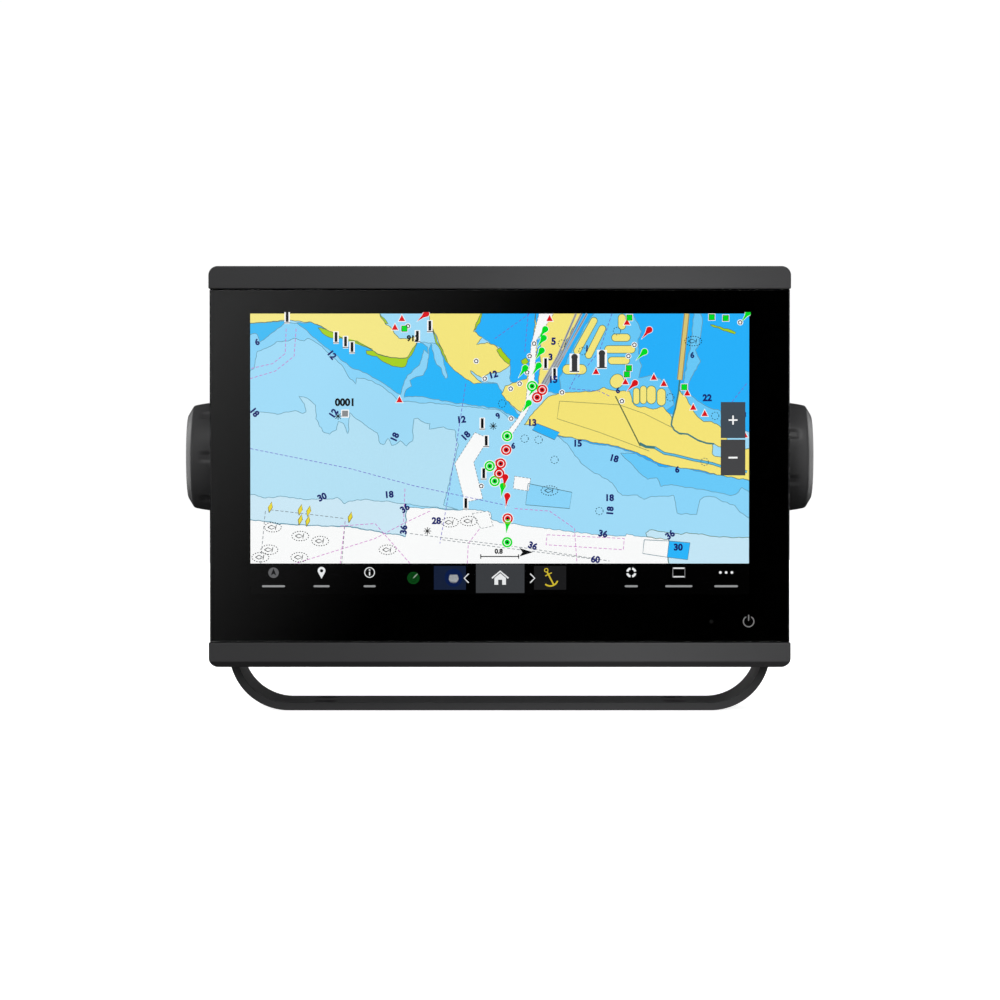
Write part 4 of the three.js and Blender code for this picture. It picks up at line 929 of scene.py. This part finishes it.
# limits of areas, and routes, in magenta and violet dashes
violet = ink(110, 96, 200)
routes = [
    ([(0.0, 0.54), (0.2, 0.62), (0.33, 0.69), (0.52, 0.77)], violet),
    ([(0.432, 0.28), (0.415, 0.5), (0.395, 0.75), (0.38, 0.92)], violet),
    ([(0.31, 0.7), (0.307, 0.84), (0.25, 0.9), (0.09, 1.0)], magenta),
    ([(0.18, 0.85), (0.25, 0.84), (0.32, 1.0)], magenta), ([(0.19, 0.83), (0.18, 1.0)], magenta),
    ([(0.03, 0.79), (0.02, 1.0)], grey_line), ([(0.04, 0.785), (0.19, 0.82)], grey_line),
    ([(0.19, 0.83), (0.183, 1.0)], grey_line), ([(0.36, 0.79), (0.307, 0.84)], magenta),
    ([(0.56, 0.0), (0.49, 0.1)], violet), ([(0.557, 0.0), (0.55, 0.16)], violet),
    ([(0.66, 0.22), (0.64, 0.3), (0.7, 0.31), (0.72, 0.33)], violet),
    ([(0.725, 0.0), (0.7, 0.15), (0.655, 0.26)], violet), ([(0.995, 0.28), (0.955, 0.38)], violet),
    ([(0.53, 0.78), (0.6, 0.79), (0.65, 0.86), (0.655, 1.0)], magenta),
    ([(0.435, 1.0), (0.437, 0.92), (0.46, 0.86)], magenta),
    ([(0.072, 0.06), (0.07, 0.16), (0.045, 0.2), (0.0, 0.22)], magenta),
    ([(0.092, 0.06), (0.088, 0.17), (0.05, 0.23), (0.0, 0.26)], magenta),
    ([(0.595, 0.885), (0.75, 0.9), (0.748, 0.945), (0.593, 0.925), (0.595, 0.885)], magenta),
    ([(0.385, 0.905), (0.5, 0.935), (0.7, 0.985)], grey_line),
    ([(0.32, 0.88), (0.42, 0.905), (0.56, 0.94), (0.72, 0.99)], grey_line),
]
for points, colour in routes:
    lines.line(charted(points), 0.26, colour, dash=1.3, gap=0.7)

# marks: each has a white edge one layer under it
triangle = [(-1.3, -1), (1.3, -1), (0, 1.5)]
square = [(-1.1, -1.1), (1.1, -1.1), (1.1, 1.1), (-1.1, 1.1)]
diamond = [(0, -2.2), (0.9, 0), (0, 2.2), (-0.9, 0)]
flare = [(0, 0), (0.5, 2.6), *arc((0, 4), 1.1, -10, 190, 10), (-0.5, 2.6)]
arrow = [(-3, 1.9), (3, 0), (-3, -1.9), (-1.6, 0)]


def mark(across, down, points, colour, size=1.0, turn=0.0, rim=1.3):
    """A coloured mark with a white edge, sized about its own middle."""
    middle = on_chart(across, down)
    cx = sum(p[0] for p in points) / len(points)
    cz = sum(p[1] for p in points) / len(points)
    grown = [(cx + (x - cx) * rim, cz + (z - cz) * rim) for x, z in points]
    shape(borders, middle, grown, white, size, turn)
    shape(marks, middle, points, colour, size, turn)


# beacons
for across, down in [
    (0.304, 0.02), (0.29, 0.055), (0.299, 0.345), (0.693, 0.232), (0.755, 0.035), (0.752, 0.273),
    (0.809, 0.255), (0.829, 0.28), (0.876, 0.318), (0.888, 0.375), (0.911, 0.4), (0.991, 0.485),
    (0.6, 0.02),
]:
    mark(across, down, triangle, red)
for across, down in [
    (0.309, 0.06), (0.76, 0.016), (0.759, 0.218), (0.755, 0.243), (0.87, 0.294), (0.925, 0.014),
    (0.953, 0.018),
]:
    mark(across, down, square, green)
    middle = on_chart(across, down)
    marks.loop([(middle[0] + x, middle[1] + z) for x, z in square], 0.3, ink(14, 60, 20))
# flares of lit buoys, then the buoys of the channel
for across, down, colour, turn in [
    (0.578, 0.1, green, -35), (0.575, 0.135, green, -35), (0.571, 0.185, green, -35),
    (0.565, 0.245, green, -35), (0.538, 0.255, green, -35), (0.558, 0.33, green, -35),
    (0.545, 0.395, green, -35), (0.774, 0.185, green, -45), (0.785, 0.1, red, -40),
    (0.755, 0.31, red, -45), (0.335, 0.03, red, -50), (0.508, 0.7, red, -8), (0.503, 0.735, green, -8),
    (0.494, 0.64, red, -8), (0.985, 0.033, green, -35), (0.512, 0.775, red, -8), (0.513, 0.88, green, -8),
]:
    mark(across, down, flare, colour, 1.15, turn, rim=1.15)
for across, down, colour in [
    (0.515, 0.49, green), (0.513, 0.545, red), (0.502, 0.6, red), (0.499, 0.64, red), (0.48, 0.61, green),
    (0.49, 0.67, green), (0.585, 0.305, red), (0.575, 0.335, red), (0.565, 0.29, green),
    (0.516, 0.82, red), (0.515, 0.915, green),
]:
    middle = on_chart(across, down)
    borders.fill(arc(middle, 2.4, 0, 345, 23), white)
    marks.fill(arc(middle, 2.1, 0, 345, 23), colour)
    numbers.loop(arc(middle, 1.25, 0, 350, 22), 0.3, white)
    numbers.fill(arc(middle, 0.45, 0, 340, 17), black)
# special marks
for across, down in [(0.04, 0.775), (0.1, 0.785), (0.117, 0.79), (0.1, 0.825), (0.115, 0.83), (0.2, 0.815)]:
    mark(across, down, diamond, yellow, turn=-15, rim=1.1)
    middle = on_chart(across, down)
    marks.loop([(middle[0] + x * 0.95 + z * 0.25, middle[1] + z) for x, z in diamond], 0.25, ink(70, 66, 20))
# piles, then towers
for across, down in [
    (0.074, 0.015), (0.172, 0.095), (0.191, 0.113), (0.204, 0.135), (0.36, 0.05), (0.335, 0.09),
    (0.465, 0.44), (0.473, 0.51), (0.468, 0.64), (0.432, 0.76), (0.592, 0.2), (0.61, 0.24),
]:
    x, z = on_chart(across, down)
    borders.fill(rectangle(x - 1.1, x + 1.1, z - 2.6, z + 2.4), white)
    marks.fill(rectangle(x - 0.55, x + 0.55, z - 1.8, z + 2.1), black)
    marks.line([(x - 1.2, z - 2.2), (x + 1.2, z - 2.2)], 0.3, black)
for across, down in [(0.65, 0.2), (0.705, 0.185)]:
    x, z = on_chart(across, down)
    borders.fill(rectangle(x - 2, x + 2, z - 3.6, z + 4), white)
    marks.fill(rectangle(x - 1.1, x + 1.1, z - 3, z + 2), ink(60, 60, 62))
    marks.fill(arc((x, z + 2.6), 1.3, 0, 345, 23), ink(60, 60, 62))
    marks.line([(x - 1.9, z - 3.1), (x + 1.9, z - 3.1)], 0.4, black)
# wrecks, obstructions, lights and rocks
for across, down in [
    (0.045, 0.855), (0.1, 0.89), (0.14, 0.91), (0.038, 0.945), (0.02, 0.975), (0.098, 0.975),
    (0.275, 0.945), (0.4, 0.835), (0.438, 0.83), (0.6, 0.708), (0.888, 0.11),
]:
    x, z = on_chart(across, down)
    ring = [(x + 3.4 * cos(a / 24 * tau), z + 1.9 * sin(a / 24 * tau)) for a in range(24)]
    marks.loop(ring, 0.34, black, dash=0.5, gap=0.5)
    marks.line([(x - 2, z), (x - 0.6, z + 0.8), (x + 1.2, z), (x - 0.6, z - 0.8), (x - 2, z)], 0.3, black)
    marks.line([(x + 1, z - 1), (x + 1.4, z + 1)], 0.26, black)
for across, down in [
    (0.625, 0.12), (0.666, 0.15), (0.842, 0.335), (0.932, 0.409), (0.61, 0.585), (0.7, 0.79), (0.55, 0.5),
    (0.735, 0.07), (0.505, 0.36), (0.911, 0.593), (0.578, 0.505),
]:
    marks.loop(arc(on_chart(across, down), 1.5, 0, 345, 16), 0.3, ink(40, 84, 104), dash=0.6, gap=0.5)
for across, down in [
    (0.316, 0.05), (0.569, 0.12), (0.56, 0.17), (0.555, 0.235), (0.54, 0.28), (0.522, 0.3), (0.523, 0.42),
    (0.77, 0.125), (0.758, 0.17), (0.745, 0.35), (0.463, 0.69), (0.982, 0.035), (0.47, 0.26),
    (0.625, 0.315), (0.453, 0.19),
]:
    middle = on_chart(across, down)
    borders.fill(arc(middle, 1.2, 0, 340, 17), white)
    marks.loop(arc(middle, 0.8, 18, 306, 4), 0.4, black)
for across, down in [(0.176, 0.41), (0.487, 0.45), (0.355, 0.87)]:
    x, z = on_chart(across, down)
    for turn in (0, 45, 90, 135):
        dx, dz = 1.5 * cos(radians(turn)), 1.5 * sin(radians(turn))
        marks.line([(x - dx, z - dz), (x + dx, z + dz)], 0.3, black)
# a waypoint, the boat's arrow and the scale bar
x, z = on_chart(0.19, 0.4)
borders.fill(rectangle(x - 1.6, x + 1.6, z - 1.6, z + 1.6), white)
marks.fill(rectangle(x - 1.2, x + 1.2, z - 1.2, z + 1.2), ink(140, 142, 144))
mark(0.553, 0.955, arrow, black, 0.9, rim=1.1)
scale_left, scale_right = on_chart(0.462, 0.972), on_chart(0.538, 0.972)
marks.line([scale_left, scale_right], 0.4, black)
for x, z in (scale_left, scale_right):
    marks.line([(x, z - 0.9), (x, z + 0.9)], 0.4, black)
for sheet in (areas, edges, lines, borders, marks):
    sheet.done()

for text, across, down, size, turn in [
    ("6", 0.014, 0.115, 3, 20), ("12", 0.163, 0.165, 3.2, -50), ("18", 0.008, 0.395, 3.2, -50),
    ("12", 0.167, 0.4, 3.2, 55), ("18", 0.29, 0.495, 3.2, 65), ("12", 0.487, 0.245, 3.2, 15),
    ("12", 0.423, 0.425, 3.2, 5), ("18", 0.432, 0.49, 3.2, 45), ("9", 0.497, 0.41, 2.8, 30),
    ("13", 0.565, 0.437, 3.2, 0), ("15", 0.656, 0.52, 3.2, 0), ("18", 0.729, 0.58, 3.2, -15),
    ("6", 0.856, 0.625, 3, 0), ("30", 0.144, 0.735, 3.2, 25), ("18", 0.278, 0.725, 3.2, 5),
    ("36", 0.31, 0.78, 3.2, 35), ("28", 0.373, 0.83, 3.2, 0), ("36", 0.308, 0.865, 3.2, 85),
    ("18", 0.72, 0.738, 3.2, 0), ("18", 0.722, 0.79, 3.2, 85), ("36", 0.707, 0.882, 3.2, -10),
    ("36", 0.842, 0.886, 3.2, 35), ("36", 0.566, 0.93, 3.2, -20), ("60", 0.692, 0.985, 3.2, -5),
    ("30", 0.858, 0.936, 3.2, 0), ("6", 0.737, 0.308, 2.8, 0), ("1", 0.675, 0.14, 2.8, 0),
    ("6", 0.886, 0.167, 2.8, 0), ("22", 0.916, 0.338, 3.2, 0), ("5", 0.608, 0.112, 3.4, 0),
    ("3", 0.602, 0.175, 3.2, 0), ("15", 0.607, 0.265, 3.2, 0), ("8", 0.99, 0.405, 2.8, 0),
    ("6", 0.527, 0.53, 2.8, 0),
]:
    numbers.write(text, *on_chart(across, down), size * 1.12, navy, turn)
numbers.write("0001", *on_chart(0.19, 0.356), 4, black)
numbers.write("913", *on_chart(0.326, 0.1), 3.2, black)
numbers.write("0.8", *on_chart(0.498, 0.952), 2.6, black)
numbers.done()

# the tool bar: a black strip with plain signs, short bars standing for its labels, and two zoom keys
bar = Sheet("tool_bar", 0)
bar.fill(rectangle(screen_left, screen_right, screen_low, chart_low), ink(2, 2, 2))
bar.done()
keys = Sheet("tool_bar_keys", 2)
keys.fill(rectangle(-9.5, 9.9, 48.1, 59.6), ink(61, 63, 66))
keys.fill(rectangle(-26.3, -13.5, 49.4, 58.9), ink(24, 34, 58))
keys.fill(rectangle(13.7, 26.6, 49.4, 58.9), ink(30, 30, 31))
keys.done()
signs = Sheet("tool_bar_signs", 4)
grey, pale = ink(96, 96, 98), ink(236, 237, 238)
signs.fill(arc((-90.4, 56.2), 2.1, 0, 350, 35), grey)
signs.fill([(-71.2, 53.8), (-70, 56), *arc((-71.2, 57), 1.55, -20, 200, 22), (-72.4, 56)], pale)
signs.loop(arc((-52, 56.3), 1.95, 0, 352, 44), 0.34, pale)
signs.fill(rectangle(-52.25, -51.75, 55.1, 56.6), pale)
signs.fill(arc((-52, 57.3), 0.32, 0, 330, 11), pale)
for radius in (0.5, 1.1, 1.7, 2.25):
    signs.loop(arc((-34.5, 54.1), radius, 0, 350, 30), 0.2, ink(22, 104, 38))
signs.line([(-34.5, 54.1), (-32.9, 55.7)], 0.3, ink(180, 190, 180))
signs.fill(arc((-18.4, 54.2), 3.6, 0, 352, 44), ink(14, 30, 74))
signs.fill([*arc((-18.4, 54), 2, 180, 360, 14), (-16.9, 55.4), (-19.9, 55.4)], ink(170, 172, 174))
signs.line([(-12.4, 55.8), (-14.2, 54), (-12.4, 52.2)], 0.45, pale)
signs.line([(12.2, 55.8), (14, 54), (12.2, 52.2)], 0.45, pale)
signs.line([(-3.1, 54), (0.2, 56.8), (3.5, 54)], 0.62, pale)
signs.fill([(-2.1, 54.1), (0.2, 56), (2.5, 54.1), (2.5, 51.4), (1, 51.4), (1, 53.4), (-0.6, 53.4),
            (-0.6, 51.4), (-2.1, 51.4)], pale)
gold = ink(214, 190, 52)
signs.line([(18.9, 56.6), (21.7, 51.2)], 0.6, gold)
signs.loop(arc((18.6, 57.2), 0.7, 0, 340, 17), 0.35, gold)
signs.line(arc((20.2, 54), 3.1, 230, 340, 20), 0.6, gold)
signs.line([(18.2, 54.9), (20.8, 56.2)], 0.4, gold)
for turn in (0, 90, 180, 270):
    signs.line(arc((52.6, 56.3), 1.6, turn + 12, turn + 78, 10), 0.9, pale)
signs.loop(rectangle(69.2, 74, 54.4, 58.2), 0.35, ink(140, 140, 142))
signs.line([(69.4, 54.6), (73.8, 54.6)], 0.5, pale)
signs.line([(69.4, 58), (73.8, 58)], 0.5, pale)
for shift in (-2.3, 0, 2.3):
    signs.fill(arc((90.5 + shift, 56.3), 0.55, 0, 345, 23), pale)
for x, half in [(-90.4, 4.6), (-71.2, 3.2), (-52, 2.4), (52.6, 2.6), (71.6, 5.4), (90.5, 4.7)]:
    capsule(signs, (x, 50.8), half * 2, 0.8, 0, ink(150, 151, 152))
signs.done()
arrow_head = Sheet("heading_sign", 6)
arrow_head.fill([(-91.5, 55.1), (-90.4, 58), (-89.3, 55.1), (-90.4, 55.8)], ink(14, 14, 15))
arrow_head.fill(arc((-71.2, 57), 0.65, 0, 340, 17), ink(8, 8, 9))
arrow_head.done()
zoom_keys = Sheet("zoom_keys", 17)
zoom_keys.fill(rectangle(88.3, 98.1, 110, 124.4), ink(68, 78, 88))
zoom_keys.fill(rectangle(88.3, 98.1, 95.1, 109.4), ink(72, 72, 74))
zoom_keys.done()
zoom_signs = Sheet("zoom_signs", 18)
zoom_signs.line([(91.4, 117.2), (95, 117.2)], 0.6, white)
zoom_signs.line([(93.2, 115.4), (93.2, 119)], 0.6, white)
zoom_signs.line([(91.4, 102.2), (95, 102.2)], 0.7, white)
zoom_signs.done()

# ---------------------------------------------------------------- cover glass
# One sheet of 2 mm chemically strengthened glass, its front edges ground to a small chamfer. A black
# border is printed on its back, with a gap for the light sensor and a printed power mark that glows with
# painted light.

cover, start, here = blank_finish("cover_glass")
smears = here.clouds(9, 6, 0.7)
coat(
    start, Base_Color=smears.blend(ink(250, 252, 252), white), Transmission_Weight=1.0, IOR=1.5,
    Roughness=smears * 0.03, Normal=smears.relief(0.02, 0.01),
)
glass_x, (glass_front, glass_back), glass_z = limits("cover_glass")
place(
    "screen_glass_cover", block(glass_x, (glass_front, glass_back), glass_z), "display", cover,
    ["cover_glass"], rounding=0.2, steps=3,
)
# The black of the printed border, also used for the strips of painted shadow along the glass's edges.
print_and_shadow_black = grained("print_and_shadow_black", ink(5, 5, 6), 0.6, 0.3, 0.004, mottle=0.3, Specular_IOR_Level=0.0)
# Painted shadow: a thin black strip above the glass and one below it stand for the dark shadow line where the
# trim caps meet the glass.
shadow_strip_depth = (glass_front + 0.9, glass_back + 0.2)
shadow_strips = bundle([
    block(glass_x, shadow_strip_depth, (glass_z[1] + 0.03, glass_z[1] + 0.27)),
    block(glass_x, shadow_strip_depth, (glass_z[0] - 0.27, glass_z[0] - 0.03)),
])
place("painted_shadow_strips", shadow_strips, "display", print_and_shadow_black)
repaint("ink_border", print_and_shadow_black)
repaint("lcd_panel", print_and_shadow_black)

# Painted light: the printed power mark glows at the grey it shows under the studio lamps, with faint random
# patches, instead of being lit by them.
painted_light_mark, start, here = blank_finish("painted_light_mark")
patches = here.clouds(600, 2)
coat(start, Base_Color=ink(30, 30, 30), Roughness=patches * 0.2 + 0.4, Emission_Strength=1.0,
     Emission_Color=patches.blend(ink(118, 119, 120), ink(140, 141, 142)))
power = Sheet("power_mark", 0)
power.depth = glass_back + 0.03
power.line(arc((99.5, 36.7), 2.1, 118, 422, 40), 0.42, pale)
power.line([(99.5, 37.0), (99.5, 39.4)], 0.42, pale)
mark_piece = power.done()
mark_piece.data.materials[0] = painted_light_mark

# ---------------------------------------------------------------- trim caps
# Satin charcoal caps that snap over the frame's ends and hide its screws. The lower one has a sloping
# under edge. Each stops a little short of the glass, and a thin black strip of painted shadow fills the gap.

trim_plastic = grained("trim_plastic", ink(64, 64, 65), 0.4, 0.35, 0.03, mottle=0.07)
trim_wall = 2
# room left between each cap and the glass for its strip of painted shadow
shadow_strip_room = 0.1
corner = 3.7
under_edge = 2.3
(half_left, half_right), (trim_front, trim_back), (top_edge, top) = limits("trim_top")
top_edge += shadow_strip_room
pocket = half_right - trim_wall
outline = [
    (half_left, top_edge), (half_right, top_edge),
    *arc((half_right - corner, top - corner), corner, 0, 90, 14),
    *arc((half_left + corner, top - corner), corner, 90, 180, 14),
]
hollow = block((-pocket, pocket), (trim_front + trim_wall, trim_back + 1), (top_edge - 1, top - trim_wall))
cap = combined(plate(outline, trim_front, trim_back, "y"), [hollow])
place("upper_trim", cap, "display", trim_plastic, ["trim_top"], rounding=0.5, steps=4)

bottom, bottom_edge = limits("trim_bottom")[2]
bottom_edge -= shadow_strip_room
outline = [
    (half_right, bottom_edge), (half_left, bottom_edge),
    *arc((half_left + corner, bottom + corner), corner, 180, 270, 14),
    *arc((half_right - corner, bottom + corner), corner, 270, 360, 14),
]
hollow = block((-pocket, pocket), (trim_front + trim_wall, trim_back + 1),
               (bottom + trim_wall, bottom_edge + 1))
slope = plate(
    [(trim_front - 1, bottom - 1), (trim_front + under_edge + 1, bottom - 1),
    (trim_front + under_edge, bottom),
     (trim_front, bottom + under_edge), (trim_front - 1, bottom + under_edge + 1)],
    half_left - 1, half_right + 1, "x",
)
cap = combined(plate(outline, trim_front, trim_back, "y"), [slope])
cap = combined(cap, [hollow])
place("lower_trim", cap, "display", trim_plastic, ["trim_bottom"], rounding=0.5, steps=4)

# ---------------------------------------------------------------- studio
# A pale floor under soft light. The room is white to the eye but dark in reflections, as on a product
# table, and one soft card stands left behind the camera for the sheen on the glass.

floor_finish, start, here = blank_finish("pale_floor")
grain = here.clouds(30, 3)
coat(
    start, Base_Color=grain.blend(ink(244, 244, 244), ink(250, 250, 250)), Roughness=grain * 0.1 + 0.85,
    Emission_Color=grain.blend(ink(250, 250, 250), ink(255, 255, 255)), Emission_Strength=0.86,
)


def staged(name, finish, half, turn, middle):
    """A flat square of the studio, in metres, which isn't part of the object."""
    made = bmesh.new()
    bmesh.ops.create_grid(made, x_segments=1, y_segments=1, size=half)
    bmesh.ops.rotate(made, matrix=Matrix.Rotation(radians(turn), 3, "X"), verts=made.verts)
    bmesh.ops.translate(made, vec=middle, verts=made.verts)
    mesh = bpy.data.meshes.new(name)
    made.to_mesh(mesh)
    made.free()
    mesh.materials.append(finish)
    square = bpy.data.objects.new(name, mesh)
    bpy.context.scene.collection.objects.link(square)
    square.visible_diffuse = False
    return square


floor = staged("floor", floor_finish, 6, 0, (0, 0, -0.0002))
floor.visible_glossy = False
floor.visible_transmission = False

card_finish, start, here = blank_finish("soft_card")
x, _, z = here.axes()
sheen = start.math("POWER", (z * 1.505 - x * 2.273 - 0.151).clamped(), 1.6)
glow = start.node("ShaderNodeEmission", {}, {"Color": (1, 1, 1, 1), "Strength": sheen * 0.4})
start.node("ShaderNodeOutputMaterial", {}, {"Surface": glow})
card = staged("soft_card", card_finish, 0.9, 90, (0, -3.7, 0.2))
card.visible_camera = False
card.visible_shadow = False


def soft_light(name, where, aim, width, height, watts, glossy=True):
    lamp = bpy.data.lights.new(name, "AREA")
    lamp.shape = "RECTANGLE"
    lamp.size = width
    lamp.size_y = height
    lamp.energy = watts
    light = bpy.data.objects.new(name, lamp)
    light.location = where
    light.rotation_euler = (Vector(aim) - Vector(where)).to_track_quat("-Z", "Y").to_euler()
    light.visible_camera = False
    light.visible_glossy = glossy
    light.visible_transmission = glossy
    bpy.context.scene.collection.objects.link(light)


centre = (0, 0, 0.09)
soft_light("front", (0.5, -2.6, 0.55), centre, 1.6, 1.2, 8, glossy=False)
soft_light("front_high", (0.1, -1.1, 1.35), centre, 1.2, 0.7, 7)
soft_light("fill", (0.06, -0.19, 0.1), (0.055, 0, 0.1), 0.06, 0.2, 0.22, glossy=False)
soft_light("front_left", (-1.4, -0.9, 0.5), centre, 0.8, 0.8, 6, glossy=False)
soft_light("side_left", (-1.3, 1.0, 0.25), centre, 0.9, 1.1, 8)
soft_light("side_right", (1.3, 1.0, 0.25), centre, 0.9, 1.1, 8)
soft_light("behind", (-0.3, 1.7, 0.4), centre, 1.4, 0.8, 12, glossy=False)

world = bpy.data.worlds.new("white_room")
bpy.context.scene.world = world
world.use_nodes = True
world.node_tree.nodes.clear()
start = Wire(world.node_tree)
seen = start.node("ShaderNodeLightPath", output=0)
mirrored = start.node("ShaderNodeLightPath", output=3)
direction = start.node("ShaderNodeTexCoord", output=0)
height = start.node("ShaderNodeSeparateXYZ", {}, {0: direction}, output=2)
unseen = (1 - seen) * (1 - mirrored)
strength = seen * 1.02 + mirrored * 0.03 + unseen * ((height * 2 + 0.4).clamped() * 0.2 + 0.05)
sky = start.node("ShaderNodeBackground", {}, {"Color": (1, 1, 1, 1), "Strength": strength})
start.node("ShaderNodeOutputWorld", {}, {"Surface": sky})

bpy.context.scene.view_settings.view_transform = "Standard"
lens = bpy.data.cameras.new("camera")
lens.lens = 160.1
lens.sensor_width = 36
lens.clip_start = 0.05
camera = bpy.data.objects.new("camera", lens)
front = glass_front * MM
sideways = 0.00012
distance = 1.775
eye_height = 0.1185
aim_height = 0.0853
camera.location = (sideways, front - distance, eye_height)
aim = Vector((sideways, front, aim_height))
camera.rotation_euler = (aim - camera.location).to_track_quat("-Z", "Y").to_euler()
bpy.context.scene.collection.objects.link(camera)
bpy.context.scene.camera = camera
